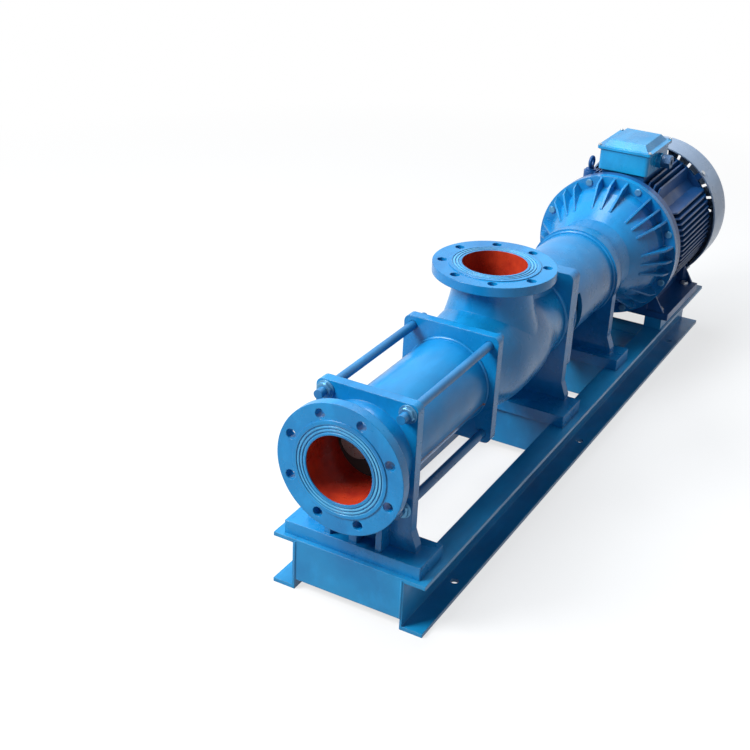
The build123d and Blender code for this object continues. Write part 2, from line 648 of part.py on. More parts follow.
def coupling_pins():
    """Pins with rubber sleeves through both hubs."""
    x_gap = X_COUPLING
    pins = []
    for y, z in ring_spots(COUPLING_PIN_RADIUS, COUPLING_PINS, 0):
        pin = rod(x_gap - COUPLING_HALF - 8, x_gap + COUPLING_GAP / 2, 9, y, z)
        pin += rod(x_gap + COUPLING_GAP / 2, x_gap + COUPLING_HALF + COUPLING_GAP / 2, 12.7, y, z)
        pin += hex_x(x_gap - COUPLING_HALF - 18, x_gap - COUPLING_HALF - 0, 24, y, z)
        pins.append(pin)
    return pins


# ---- bell housing ------------------------------------------------------------------------------------
def bell_housing():
    """Trumpet shaped casting between the bracket and the motor flange, with stiffening ribs."""
    r0 = BELL_SMALL_OD / 2
    r1 = BELL_FLANGE_OD / 2
    x0 = X_BELL
    x1 = X_MOTOR
    throat = x0 + 18
    shoulder = x1 - 46
    skin = [(throat, r0 - 14), (x0 + BELL_NECK_LENGTH, r0 - 4), (x0 + BELL_FLARE_AT, r0 + 30)]
    skin += [(shoulder, r1 - 38)]
    outer = [(x0, r0), (throat, r0)] + skin + [(x1 - BELL_FLANGE_THICK, r1 - 32)]
    outer += [(x1 - BELL_FLANGE_THICK, r1), (x1, r1)]
    inner = [(x1, r1 - 32 - BELL_WALL)] + [(x, r - BELL_WALL) for x, r in reversed(skin)]
    inner += [(x0, r0 - 14 - BELL_WALL)]
    bell = turned(*outer, *inner)
    x_rib = x0 + BELL_RIB_AT
    slope = [(x_rib, r0 + 2), (shoulder + 4, r1 - 44), (x1 - BELL_FLANGE_THICK, r1 - 40),
             (x1 - BELL_FLANGE_THICK, r1 - 5), (shoulder - 6, r1 - 14), (x_rib + 6, r0 + 20)]
    rib = extrude(Plane.XZ * make_face(Polyline(*slope, close=True)), 3, both=True)
    for k in range(BELL_RIBS):
        if k % 4 != 2:
            bell += Pos(0, 0, AXIS_HEIGHT) * Rot(360 / BELL_RIBS * k, 0, 0) * rib
    return drilled(bell, x1 - BELL_FLANGE_THICK, x1, MOTOR_FLANGE_HOLE / 2, flange_bolt_spots())


# ---- motor -------------------------------------------------------------------------------------------
def finned_outline():
    """Round shell with level fins on the sides and upright fins above and below."""
    shape = Circle(MOTOR_CORE_R)
    for k in range(FIN_COUNT):
        offset = (k - (FIN_COUNT - 1) / 2) * FIN_GAP
        if abs(offset) < MOTOR_CORE_R * 0.72:
            shape += Pos(0, offset) * Rectangle(2 * MOTOR_FIN_R, FIN_THICK)
            shape += Pos(offset, 0) * Rectangle(FIN_THICK, 2 * MOTOR_FIN_R)
    return shape & Circle(MOTOR_FIN_R)


def motor_frame():
    """Finned cast frame with its feet and the flat for the terminal box."""
    body = section(finned_outline(), X_FRAME, X_COWL)
    body &= turned((X_FRAME, 0), (X_FRAME, MOTOR_CORE_R + 1), (X_FRAME + 12, MOTOR_CORE_R + 2),
                   (X_FRAME + FIN_CUT_BACK, MOTOR_FIN_R + 1),
                   (X_COWL - 10, MOTOR_FIN_R + 1), (X_COWL, MOTOR_FIN_R - 6), (X_COWL, 0))
    x_mid = X_MOTOR_FEET
    half = MOTOR_FOOT_PITCH / 2 + MOTOR_FOOT_END
    sole = AXIS_HEIGHT - MOTOR_CENTRE_HEIGHT
    for side in (-1, 1):
        y0, y1 = sorted((side * (MOTOR_FOOT_Y - 42), side * MOTOR_FOOT_HALF_WIDTH))
        foot = block(x_mid - half, x_mid + half, y0, y1, sole, sole + 20)
        y2, y3 = sorted((side * 70, side * (MOTOR_FOOT_Y - 30)))
        foot += block(x_mid - half, x_mid + half, y2, y3, sole, AXIS_HEIGHT - 110)
        for x in (x_mid - half + 6, x_mid + half - 6):
            gusset = make_face(Polyline(
                (side * 100, sole + 20), (side * (MOTOR_FOOT_HALF_WIDTH - 14), sole + 20),
                (side * (MOTOR_FOOT_Y - 24), sole + 88), (side * 100, sole + 88), close=True))
            plane = Plane(origin=(x - 4, 0, 0), x_dir=(0, 1, 0), z_dir=(1, 0, 0))
            foot += extrude(plane * gusset, 8)
        body += foot
    for x, y in motor_foot_spots():
        body -= upright(sole, sole + 20, FOOT_BOLT_D / 2 + 3, x, y)
        body -= upright(sole + 20, sole + 90, 19, x, y)
    body += upright(AXIS_HEIGHT + 100, Z_EYE, 20, X_EYE, Y_EYE)
    body += block(X_BOX + 12, X_BOX + BOX_LENGTH - 12, -BOX_WIDTH / 2 + 10, BOX_WIDTH / 2 - 10,
                  AXIS_HEIGHT + 120, Z_BOX)
    body -= rod(X_FRAME, X_COWL, MOTOR_CORE_R - 14)
    return drilled(body, X_FRAME, X_FRAME + 16, 14, flange_bolt_spots())


def motor_foot_spots():
    """Motor foot bolt places."""
    places = (X_MOTOR_FEET - MOTOR_FOOT_PITCH / 2, X_MOTOR_FEET + MOTOR_FOOT_PITCH / 2)
    return [(x, y) for x in places for y in (-MOTOR_FOOT_Y, MOTOR_FOOT_Y)]


def drive_end_shield():
    """Flanged end of the motor, bolted to the bell housing."""
    shield = ring(X_MOTOR, X_FRAME, BELL_FLANGE_OD / 2, MOTOR_SHAFT_D / 2 + 1)
    shield += ring(X_FRAME, X_FRAME + 8, MOTOR_CORE_R - 14 - FIT_GAP, DRIVE_BEARING_OD / 2)
    shield -= rod(X_MOTOR + 3, X_FRAME + 8, DRIVE_BEARING_OD / 2)
    return drilled(shield, X_MOTOR, X_FRAME, MOTOR_FLANGE_HOLE / 2, flange_bolt_spots())


def flange_bolt_spots():
    """Bolt places of the motor flange."""
    return ring_spots(MOTOR_FLANGE_PCD / 2, MOTOR_FLANGE_BOLTS, pi / MOTOR_FLANGE_BOLTS)


def rear_end_shield():
    """Plain end of the motor, under the fan cowl."""
    shield = ring(X_COWL, X_COWL + 12, COWL_OD / 2 - COWL_LUG_LENGTH, FAN_SHAFT_D / 2 + 1)
    shield += ring(X_COWL - 8, X_COWL, MOTOR_CORE_R - 14 - FIT_GAP, REAR_BEARING_OD / 2)
    shield -= rod(X_COWL - 8, X_COWL + 9, REAR_BEARING_OD / 2)
    for angle in COWL_LUG_ANGLES:
        lug = block(X_COWL + 1, X_COWL + 19, -9, 9, MOTOR_CORE_R - 8, COWL_OD / 2 - COWL_WALL - FIT_GAP)
        lug -= Pos(X_COWL + 10, 0, COWL_OD / 2 - 20) * Cylinder(3, 40)
        shield += Pos(0, 0, AXIS_HEIGHT) * Rot(angle, 0, 0) * lug
    return shield


def motor_bearings():
    """The sealed bearings in both motor end shields."""
    drive = ring(X_MOTOR + 3, X_FRAME + 8, DRIVE_BEARING_OD / 2, MOTOR_SHAFT_D / 2 + FIT_GAP)
    return [drive, ring(X_COWL - 8, X_COWL + 9, REAR_BEARING_OD / 2, FAN_SHAFT_D / 2 + FIT_GAP)]


def motor_stator_core():
    """Wound stator pack in the frame."""
    return ring(X_FRAME + MOTOR_CORE_INSET, X_COWL - MOTOR_CORE_INSET, MOTOR_CORE_R - 14, MOTOR_CORE_BORE / 2)


def motor_rotor():
    """Motor shaft with its rotor pack."""
    shaft = rod(X_COUPLING + COUPLING_GAP, X_COWL - SHAFT_STEP_AT, MOTOR_SHAFT_D / 2)
    shaft += rod(X_FRAME + MOTOR_PACK_INSET, X_COWL - MOTOR_PACK_INSET, MOTOR_CORE_BORE / 2 - AIR_GAP)
    return shaft + rod(X_COWL - MOTOR_PACK_INSET, X_COWL + REAR_SHAFT_LENGTH, FAN_SHAFT_D / 2)


def cooling_fan():
    """Radial fan on the motor's rear shaft end."""
    x0 = X_COWL + 26
    fan = ring(x0, x0 + FAN_HUB_LENGTH, FAN_SHAFT_D / 2 + 14, FAN_SHAFT_D / 2)
    fan += ring(x0, x0 + 5, FAN_OD / 2, FAN_SHAFT_D / 2)
    for k in range(FAN_BLADES):
        blade = block(x0 + 4, x0 + 50, -2.5, 2.5, 30, FAN_OD / 2)
        fan += Pos(0, 0, AXIS_HEIGHT) * Rot(360 / FAN_BLADES * k, 0, 0) * blade
    return fan


def fan_cowl():
    """Pressed steel cover over the fan, with an air grille in its end."""
    r = COWL_OD / 2
    corner = 26
    cup = turned((X_COWL, 0), (X_COWL, r), (X_END - corner, r), (X_END - corner * 0.3, r - corner * 0.3),
                 (X_END, r - corner), (X_END, 0))
    cup -= turned((X_COWL, 0), (X_COWL, r - COWL_WALL), (X_END - corner, r - COWL_WALL),
                  (X_END - corner * 0.3 - COWL_WALL, r - corner * 0.3 - COWL_WALL),
                  (X_END - COWL_WALL, r - corner), (X_END - COWL_WALL, 0))
    for angle in COWL_LUG_ANGLES:
        hole = Pos(X_COWL + 10, 0, COWL_OD / 2) * Cylinder(3.5, 12)
        cup -= Pos(0, 0, AXIS_HEIGHT) * Rot(angle, 0, 0) * hole
    slot = SlotCenterToCenter(44, 8)
    plane = Plane(origin=(X_END - 8, 0, AXIS_HEIGHT), x_dir=(0, 1, 0), z_dir=(1, 0, 0))
    for radius, count in ((70, GRILLE_SLOTS // 2), (136, GRILLE_SLOTS)):
        for k in range(count):
            turn = 360 / count * k
            cup -= extrude(plane * (Rot(0, 0, turn) * Pos(radius, 0) * slot), 16)
    return cup


def cowl_screws():
    """Round headed screws from outside into the lugs of the rear end shield."""
    screw = Pos(X_COWL + 10, 0, COWL_OD / 2 + 0.2) * Cylinder(
        7, 4, align=(Align.CENTER, Align.CENTER, Align.MIN))
    screw += Pos(X_COWL + 10, 0, COWL_OD / 2 - 16) * Cylinder(
        3, 17, align=(Align.CENTER, Align.CENTER, Align.MIN))
    return [Pos(0, 0, AXIS_HEIGHT) * Rot(angle, 0, 0) * screw for angle in COWL_LUG_ANGLES]


def terminal_box():
    """Cast connection box on the frame."""
    z1 = Z_BOX + BOX_HEIGHT
    outer = block(X_BOX, X_BOX + BOX_LENGTH, -BOX_WIDTH / 2, BOX_WIDTH / 2, Z_BOX, z1)
    outer = fillet(outer.edges().filter_by(Axis.Z), 12)
    cavity = block(X_BOX + 8, X_BOX + BOX_LENGTH - 8, -BOX_WIDTH / 2 + 8, BOX_WIDTH / 2 - 8, Z_BOX + 8, z1)
    hub = Pos(X_BOX + BOX_LENGTH * 0.5, -BOX_WIDTH / 2, Z_BOX + 28) * Rot(90, 0, 0) * Cylinder(
        21, 12, align=(Align.CENTER, Align.CENTER, Align.MIN))
    hole = Pos(X_BOX + BOX_LENGTH * 0.5, -BOX_WIDTH / 2 + 9, Z_BOX + 28) * Rot(90, 0, 0) * Cylinder(
        14, 24, align=(Align.CENTER, Align.CENTER, Align.MIN))
    return outer - cavity + hub - hole


def terminal_box_lid():
    """Lid with a flat rim and a raised, sloping crown."""
    z0 = Z_BOX + BOX_HEIGHT
    rim = block(X_BOX - 6, X_BOX + BOX_LENGTH + 6, -BOX_WIDTH / 2 - 6, BOX_WIDTH / 2 + 6, z0, z0 + 8)
    rim = fillet(rim.edges().filter_by(Axis.Z), 8)
    crown = extrude(Plane(origin=(X_BOX + BOX_LENGTH / 2, 0, z0 + 8)) * Rectangle(BOX_LENGTH - 16, BOX_WIDTH - 16),
                    BOX_LID_HEIGHT - 8, taper=40)
    return rim + crown


def lid_screws():
    """Four screws in the lid's corners."""
    z0 = Z_BOX + BOX_HEIGHT + 8
    spots = [(X_BOX + BOX_LENGTH / 2 + sx * BOX_LENGTH / 2, sy * BOX_WIDTH / 2)
             for sx in (-1, 1) for sy in (-1, 1)]
    return [upright(z0, z0 + 5, 4.5, x, y) for x, y in spots]


def cable_gland():
    """Gland and blanking nut in the box's side."""
    x = X_BOX + BOX_LENGTH * 0.5
    z = Z_BOX + 28
    y0 = -BOX_WIDTH / 2 - 12
    body = Pos(x, y0, z) * Rot(90, 0, 0) * Cylinder(18, 10, align=(Align.CENTER, Align.CENTER, Align.MIN))
    nut = extrude(Plane(origin=(x, y0 - 10, z), x_dir=(1, 0, 0), z_dir=(0, -1, 0))
                  * RegularPolygon(17, 6, major_radius=False), 16)
    return body + nut - Pos(x, y0, z) * Rot(90, 0, 0) * Cylinder(
        8, 26, align=(Align.CENTER, Align.CENTER, Align.MIN))


def lifting_eye():
    """Eye bolt on the frame's shoulder."""
    eye = Pos(X_EYE, Y_EYE, Z_EYE + 24) * Rot(90, 0, 0) * Torus(14, 5)
    stem = upright(Z_EYE, Z_EYE + 12, 8, X_EYE, Y_EYE)
    return eye + stem + upright(Z_EYE, Z_EYE + 5, 15, X_EYE, Y_EYE)


# ---- base --------------------------------------------------------------------------------------------
def base_rail(side):
    """A steel channel on edge, flanges outwards, with anchor holes in its lower flange."""
    back = BASE_HALF_WIDTH - RAIL_FLANGE
    y0, y1 = sorted((side * back, side * (back + RAIL_WEB)))
    rail = block(X_BASE, X_BASE_END, y0, y1, 0, RAIL_HEIGHT)
    y2, y3 = sorted((side * back, side * BASE_HALF_WIDTH))
    rail += block(X_BASE, X_BASE_END, y2, y3, 0, RAIL_FLANGE_THICK)
    rail += block(X_BASE, X_BASE_END, y2, y3, RAIL_HEIGHT - RAIL_FLANGE_THICK, RAIL_HEIGHT)
    for x in anchor_stations():
        rail -= upright(0, RAIL_FLANGE_THICK, ANCHOR_HOLE / 2, x, side * ANCHOR_Y)
    for x, y in all_foot_spots():
        if y * side > 0:
            rail -= upright(RAIL_HEIGHT - RAIL_FLANGE_THICK, RAIL_HEIGHT, FOOT_BOLT_D / 2 + 1, x, y)
    return rail


def anchor_stations():
    """Anchor hole places along the base."""
    return [X_BASE + ANCHOR_INSET, (X_BASE + X_BASE_END) / 2, X_BASE_END - ANCHOR_INSET]


def all_foot_spots():
    """Every bolt place on the rails' top flanges."""
    spots = foot_spots(X_DISCHARGE_FOOT, DISCHARGE_FOOT_LENGTH)
    spots += foot_spots(X_SUCTION_FOOT, SUCTION_FOOT_LENGTH)
    spots += foot_spots(X_BRACKET + BRACKET_FOOT_AT, BRACKET_FOOT_LENGTH)
    return spots + motor_foot_spots()


def cross_members():
    """Channels welded between the rails, web up, under each foot and at both ends."""
    inner = BASE_HALF_WIDTH - RAIL_FLANGE
    mids = [X_BASE + CROSS_WIDTH / 2, X_SUCTION_FOOT, X_BRACKET + BRACKET_FOOT_AT,
            X_FRAME - 24, X_BASE_END - CROSS_WIDTH / 2]
    members = []
    for x in mids:
        under = RAIL_HEIGHT - CROSS_HEIGHT
        bar = block(x - CROSS_WIDTH / 2, x + CROSS_WIDTH / 2, -inner, inner, under, RAIL_HEIGHT)
        bar -= block(x - CROSS_WIDTH / 2 + 7, x + CROSS_WIDTH / 2 - 7, -inner, inner,
                     RAIL_HEIGHT - CROSS_HEIGHT, RAIL_HEIGHT - 7)
        members.append(bar)
    return members


def motor_risers():
    """Flat bars that lift the motor's feet to the pump's axis."""
    x_mid = X_MOTOR_FEET
    half = MOTOR_FOOT_PITCH / 2 + MOTOR_FOOT_END
    top = AXIS_HEIGHT - MOTOR_CENTRE_HEIGHT
    bars = []
    for side in (-1, 1):
        y0, y1 = sorted((side * (BASE_HALF_WIDTH - RAIL_FLANGE), side * (BASE_HALF_WIDTH - 4)))
        bar = block(x_mid - half, x_mid + half, y0, y1, Z_BASE, top)
        for x, y in motor_foot_spots():
            bar -= upright(Z_BASE, top, FOOT_BOLT_D / 2 + 1, x, y)
        bars.append(bar)
    return bars


# ---- fasteners ---------------------------------------------------------------------------------------
def standing_bolt(x, y, z_top, grip, size=FOOT_BOLT_D):
    """A hexagon bolt from above with a washer, and its nut below the grip."""
    across = size * 1.5
    bolt = hex_z(z_top + 2.5, z_top + 2.5 + size * 0.65, across, x, y)
    bolt += upright(z_top, z_top + 2.5, size, x, y)
    bolt += upright(z_top - grip - size * 1.3, z_top + 2.5, size / 2, x, y)
    return bolt + hex_z(z_top - grip - size * 0.8, z_top - grip, across, x, y)


def foot_bolts(spots):
    """Bolts from below, through the rail's top flange into a foot's sole."""
    bolts = []
    seat = Z_BASE - RAIL_FLANGE_THICK
    for x, y in spots:
        bolt = upright(seat - 2.5, Z_BASE + FOOT_BOLT_DEPTH, FOOT_BOLT_D / 2, x, y)
        bolt += upright(seat - 2.5, seat, FOOT_BOLT_D, x, y)
        bolts.append(bolt + hex_z(seat - 2.5 - FOOT_BOLT_D * 0.65, seat - 2.5, FOOT_BOLT_D * 1.5, x, y))
    return bolts


def motor_bolts():
    """Bolts from above, through the motor's feet, the risers and the rails."""
    top = AXIS_HEIGHT - MOTOR_CENTRE_HEIGHT + 20
    grip = top - Z_BASE + RAIL_FLANGE_THICK
    return [standing_bolt(x, y, top, grip) for x, y in motor_foot_spots()]


def level_bolt(x_head, x_nut, y, z, size):
    """A bolt along X: its head before x_head and its nut after x_nut."""
    bolt = rod(x_head, x_nut + size, size / 2, y, z)
    bolt += hex_x(x_head - size * 0.65, x_head, size * 1.5, y, z)
    return bolt + hex_x(x_nut, x_nut + size * 0.8, size * 1.5, y, z)


def bell_bolts():
    """Bolts of the motor flange."""
    head = X_MOTOR - BELL_FLANGE_THICK
    return [level_bolt(head, X_FRAME, y, z, MOTOR_FLANGE_BOLT_D) for y, z in flange_bolt_spots()]


def write(name, shape):
    """One node: a solid, or several separate solids."""
    solids = []
    for item in (shape if isinstance(shape, list) else [shape]):
        solids += item.solids()
    whole = solids[0] if len(solids) == 1 else Compound(children=solids)
    export_step(whole, f"parts/{name}.step")


def main():
    """Builds every node."""
    os.makedirs("parts", exist_ok=True)
    nodes = {
        "base_rail_left": base_rail(1),
        "base_rail_right": base_rail(-1),
        "cross_members": cross_members(),
        "motor_risers": motor_risers(),
        "discharge_casing": discharge_casing(),
        "stator_tube": stator_tube(),
        "stator_rubber": stator_rubber(),
        "rotor": rotor(),
        "connecting_rod": connecting_rod(),
        "rotor_joint_boot": joint_boot(X_ROTOR_SOCKET, ECCENTRICITY, 1),
        "shaft_joint_boot": joint_boot(X_SHAFT_SOCKET, 0, -1),
        "drive_shaft": drive_shaft(),
        "tie_rods": tie_rods(),
        "tie_rod_nuts": tie_rod_nuts(),
        "suction_casing": suction_casing(),
        "packing_rings": packing_rings(),
        "packing_gland": packing_gland(),
        "gland_studs": gland_studs(),
        "bearing_bracket": bearing_bracket(),
        "front_bearing": bearing(X_FRONT_BEARING),
        "rear_bearing": bearing(X_REAR_BEARING),
        "bearing_inner_rings": [inner_ring(X_FRONT_BEARING), inner_ring(X_REAR_BEARING)],
        "bearing_balls": bearing_balls(X_FRONT_BEARING) + bearing_balls(X_REAR_BEARING),
        "bearing_cover": bearing_cover(),
        "pump_coupling_half": coupling_half(X_COUPLING, -1),
        "motor_coupling_half": coupling_half(X_COUPLING + COUPLING_GAP, 1),
        "coupling_pins": coupling_pins(),
        "bell_housing": bell_housing(),
        "motor_frame": motor_frame(),
        "drive_end_shield": drive_end_shield(),
        "rear_end_shield": rear_end_shield(),
        "motor_stator_core": motor_stator_core(),
        "motor_bearings": motor_bearings(),
        "motor_rotor": motor_rotor(),
        "cooling_fan": cooling_fan(),
        "fan_cowl": fan_cowl(),
        "cowl_screws": cowl_screws(),
        "terminal_box": terminal_box(),
        "terminal_box_lid": terminal_box_lid(),
        "lid_screws": lid_screws(),
        "cable_gland": cable_gland(),
        "lifting_eye": lifting_eye(),
        "discharge_foot_bolts": foot_bolts(foot_spots(X_DISCHARGE_FOOT, DISCHARGE_FOOT_LENGTH)),
        "suction_foot_bolts": foot_bolts(foot_spots(X_SUCTION_FOOT, SUCTION_FOOT_LENGTH)),
        "bracket_foot_bolts": foot_bolts(foot_spots(X_BRACKET + BRACKET_FOOT_AT, BRACKET_FOOT_LENGTH)),
        "motor_foot_bolts": motor_bolts(),
        "bell_bolts": bell_bolts(),
    }
    for name, shape in nodes.items():
        write(name, shape)


main()
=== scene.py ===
import bpy
import json
from math import cos, pi, radians, sin
from mathutils import Matrix, Vector
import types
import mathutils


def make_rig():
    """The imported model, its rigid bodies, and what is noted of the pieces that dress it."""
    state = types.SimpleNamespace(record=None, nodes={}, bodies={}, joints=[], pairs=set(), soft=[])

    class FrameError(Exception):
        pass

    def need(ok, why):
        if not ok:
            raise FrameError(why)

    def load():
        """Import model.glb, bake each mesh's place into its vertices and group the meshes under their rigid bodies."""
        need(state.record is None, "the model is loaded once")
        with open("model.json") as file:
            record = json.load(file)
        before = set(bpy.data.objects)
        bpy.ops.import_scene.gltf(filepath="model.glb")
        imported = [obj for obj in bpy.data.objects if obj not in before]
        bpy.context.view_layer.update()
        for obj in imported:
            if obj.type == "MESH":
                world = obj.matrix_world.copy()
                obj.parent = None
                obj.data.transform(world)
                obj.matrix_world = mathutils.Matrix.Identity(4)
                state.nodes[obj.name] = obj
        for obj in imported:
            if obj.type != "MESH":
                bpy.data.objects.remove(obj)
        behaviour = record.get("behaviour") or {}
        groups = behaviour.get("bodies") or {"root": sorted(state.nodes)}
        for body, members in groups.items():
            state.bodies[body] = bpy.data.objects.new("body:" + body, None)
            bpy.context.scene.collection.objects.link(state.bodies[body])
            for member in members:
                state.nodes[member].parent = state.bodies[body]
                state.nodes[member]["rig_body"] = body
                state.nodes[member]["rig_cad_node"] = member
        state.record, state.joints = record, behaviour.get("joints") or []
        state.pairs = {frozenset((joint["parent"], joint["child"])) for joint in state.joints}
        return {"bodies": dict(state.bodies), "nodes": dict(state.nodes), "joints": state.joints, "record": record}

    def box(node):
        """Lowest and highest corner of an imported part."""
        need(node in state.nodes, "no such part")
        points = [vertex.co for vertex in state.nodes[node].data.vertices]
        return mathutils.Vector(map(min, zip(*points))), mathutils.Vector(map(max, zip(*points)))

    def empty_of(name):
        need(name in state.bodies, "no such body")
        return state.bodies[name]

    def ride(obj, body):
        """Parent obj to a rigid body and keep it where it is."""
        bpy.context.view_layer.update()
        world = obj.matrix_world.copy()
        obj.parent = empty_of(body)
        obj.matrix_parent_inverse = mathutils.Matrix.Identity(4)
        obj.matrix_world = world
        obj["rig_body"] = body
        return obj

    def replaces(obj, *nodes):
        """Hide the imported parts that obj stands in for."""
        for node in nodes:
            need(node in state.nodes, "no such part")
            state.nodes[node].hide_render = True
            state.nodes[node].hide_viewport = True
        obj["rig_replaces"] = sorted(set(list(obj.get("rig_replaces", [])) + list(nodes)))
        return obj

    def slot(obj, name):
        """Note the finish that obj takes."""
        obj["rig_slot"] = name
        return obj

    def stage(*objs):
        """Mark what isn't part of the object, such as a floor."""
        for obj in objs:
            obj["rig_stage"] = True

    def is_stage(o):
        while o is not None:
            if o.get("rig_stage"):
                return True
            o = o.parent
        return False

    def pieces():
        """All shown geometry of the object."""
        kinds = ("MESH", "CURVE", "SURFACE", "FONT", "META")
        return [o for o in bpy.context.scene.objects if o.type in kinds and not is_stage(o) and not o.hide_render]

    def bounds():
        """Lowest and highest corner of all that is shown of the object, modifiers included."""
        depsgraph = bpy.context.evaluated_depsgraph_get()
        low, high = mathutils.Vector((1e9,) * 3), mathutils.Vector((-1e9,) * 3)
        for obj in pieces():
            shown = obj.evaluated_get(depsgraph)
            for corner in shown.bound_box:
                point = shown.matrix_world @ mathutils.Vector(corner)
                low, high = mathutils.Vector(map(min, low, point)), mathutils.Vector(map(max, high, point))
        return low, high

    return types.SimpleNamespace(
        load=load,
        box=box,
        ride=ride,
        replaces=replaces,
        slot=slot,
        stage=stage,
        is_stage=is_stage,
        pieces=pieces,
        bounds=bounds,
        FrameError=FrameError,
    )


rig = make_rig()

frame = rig.load()
with open("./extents.json", "w") as out:
    json.dump({"cad": [list(map(float, v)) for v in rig.bounds()]}, out)

# Sizes in metres that the boxes of the parts don't give.
AXIS = 0.360                     # pump axis above the floor
PLATE = 0.024                    # thickness of the casings' clamp plates
FLANGE = 0.024                   # thickness of the pipe flanges
PORT_SET_BACK = 0.209            # suction casing's front face to the port's axis
DISCHARGE_NECK = 0.093           # outer radii, where fillets and seams run round them
PORT_NECK = 0.092
CASING_BARREL = 0.107
STATOR_BARREL = 0.098
BRACKET_BARREL = 0.112
BRACKET_PLATE = 0.020            # thickness of the bracket's front plate
BRACKET_ARCH_AT = 0.298          # bracket's front face to the front of its arch
MOTOR_BOLT_RING = 0.185          # motor axis to its flange bolts
MOTOR_BOLTS = 8
BELL_FLANGE = 0.020              # thickness of the bell housing's flange
SHIELD_SPIGOT = 0.008            # drive end shield past the face that its nuts sit on
BOLT_ACROSS = 0.018              # 12 mm bolts, across the flats
THREAD_PITCH = 0.0025
RAIL_FLANGE = 0.009              # thickness of a rail's flange
CROSS_MIDDLES = (-0.885, -0.111, 0.253, 0.501, 0.885)
CROSS_HALF_WIDTH = 0.040
CROSS_HEIGHT = 0.100

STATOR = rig.box("stator_tube")
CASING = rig.box("suction_casing")
FACE_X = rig.box("discharge_casing")[0][0]      # discharge flange face
PORT_X = CASING[0][0] + PORT_SET_BACK          # suction port axis
PORT_Z = CASING[1][2]                          # suction port face
BRACKET_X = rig.box("bearing_bracket")[0][0]    # bracket's front face
TURNS = {"X": (0, pi / 2, 0), "Y": (pi / 2, 0, 0), "Z": (0, 0, 0)}   # from Z to each axis


# ---- camera, light and stage ----------------------------------------------------------------------
def set_camera():
    """Looks down along the pump from its discharge end."""
    azimuth, tilt, roll = radians(28.49), radians(27.03), radians(2.63)
    ahead = Vector((cos(azimuth) * cos(tilt), sin(azimuth) * cos(tilt), -sin(tilt)))
    right = ahead.cross(Vector((0, 0, 1))).normalized()
    up = right.cross(ahead)
    right, up = (right * cos(roll) + up * sin(roll), up * cos(roll) - right * sin(roll))
    camera = bpy.data.objects.new("camera", bpy.data.cameras.new("camera"))
    bpy.context.collection.objects.link(camera)
    turn = Matrix((right, up, -ahead)).transposed().to_4x4()
    camera.matrix_world = Matrix.Translation((-2.8229, -1.0746, 1.6623)) @ turn
    camera.data.sensor_width = 36
    camera.data.lens = 62.07456
    camera.data.clip_end = 60
    bpy.context.scene.camera = camera


def area_light(name, place, target, size, power, colour):
    """A rectangular lamp that looks at a target."""
    lamp = bpy.data.objects.new(name, bpy.data.lights.new(name, "AREA"))
    lamp.data.shape = "RECTANGLE"
    lamp.data.size, lamp.data.size_y = size
    lamp.data.energy = power
    lamp.data.color = colour
    lamp.location = place
    lamp.rotation_euler = (Vector(target) - Vector(place)).to_track_quat("-Z", "Y").to_euler()
    bpy.context.collection.objects.link(lamp)


def seen_rays(tree):
    """1 for camera, glossy and transmission rays."""
    path = tree.nodes.new("ShaderNodeLightPath")
    mask = path.outputs["Is Camera Ray"]
    for kind in ("Is Glossy Ray", "Is Transmission Ray"):
        larger = tree.nodes.new("ShaderNodeMath")
        larger.operation = "MAXIMUM"
        tree.links.new(mask, larger.inputs[0])
        tree.links.new(path.outputs[kind], larger.inputs[1])
        mask = larger.outputs[0]
    return mask


def set_world():
    """Soft bluish light all round, and a white background."""
    world = bpy.data.worlds.new("studio")
    bpy.context.scene.world = world
    world.use_nodes = True
    tree = world.node_tree
    tree.nodes.clear()
    out = tree.nodes.new("ShaderNodeOutputWorld")
    soft = tree.nodes.new("ShaderNodeBackground")
    soft.inputs["Color"].default_value = (0.70, 0.84, 1.0, 1)
    soft.inputs["Strength"].default_value = 0.20
    white = tree.nodes.new("ShaderNodeBackground")
    white.inputs["Color"].default_value = (1, 1, 1, 1)
    white.inputs["Strength"].default_value = 1.0
    mix = tree.nodes.new("ShaderNodeMixShader")
    tree.links.new(seen_rays(tree), mix.inputs[0])
    tree.links.new(soft.outputs[0], mix.inputs[1])
    tree.links.new(white.outputs[0], mix.inputs[2])
    tree.links.new(mix.outputs[0], out.inputs["Surface"])


def deselect():
    """Leaves edit mode and selects nothing."""
    if bpy.context.object and bpy.context.object.mode != "OBJECT":
        bpy.ops.object.mode_set(mode="OBJECT")
    bpy.ops.object.select_all(action="DESELECT")


def floor_fade(tree):
    """Share of plain white in the seen floor: it keeps the shadow near the pump and fades to white."""
    place = tree.nodes.new("ShaderNodeNewGeometry")
    away = tree.nodes.new("ShaderNodeVectorMath")
    away.operation = "LENGTH"
    tree.links.new(place.outputs["Position"], away.inputs[0])
    fade = tree.nodes.new("ShaderNodeMapRange")
    fade.inputs["From Min"].default_value = 1.2
    fade.inputs["From Max"].default_value = 3.2
    fade.inputs["To Min"].default_value = 0.72
    fade.inputs["To Max"].default_value = 1.0
    tree.links.new(away.outputs["Value"], fade.inputs["Value"])
    return fade.outputs["Result"]


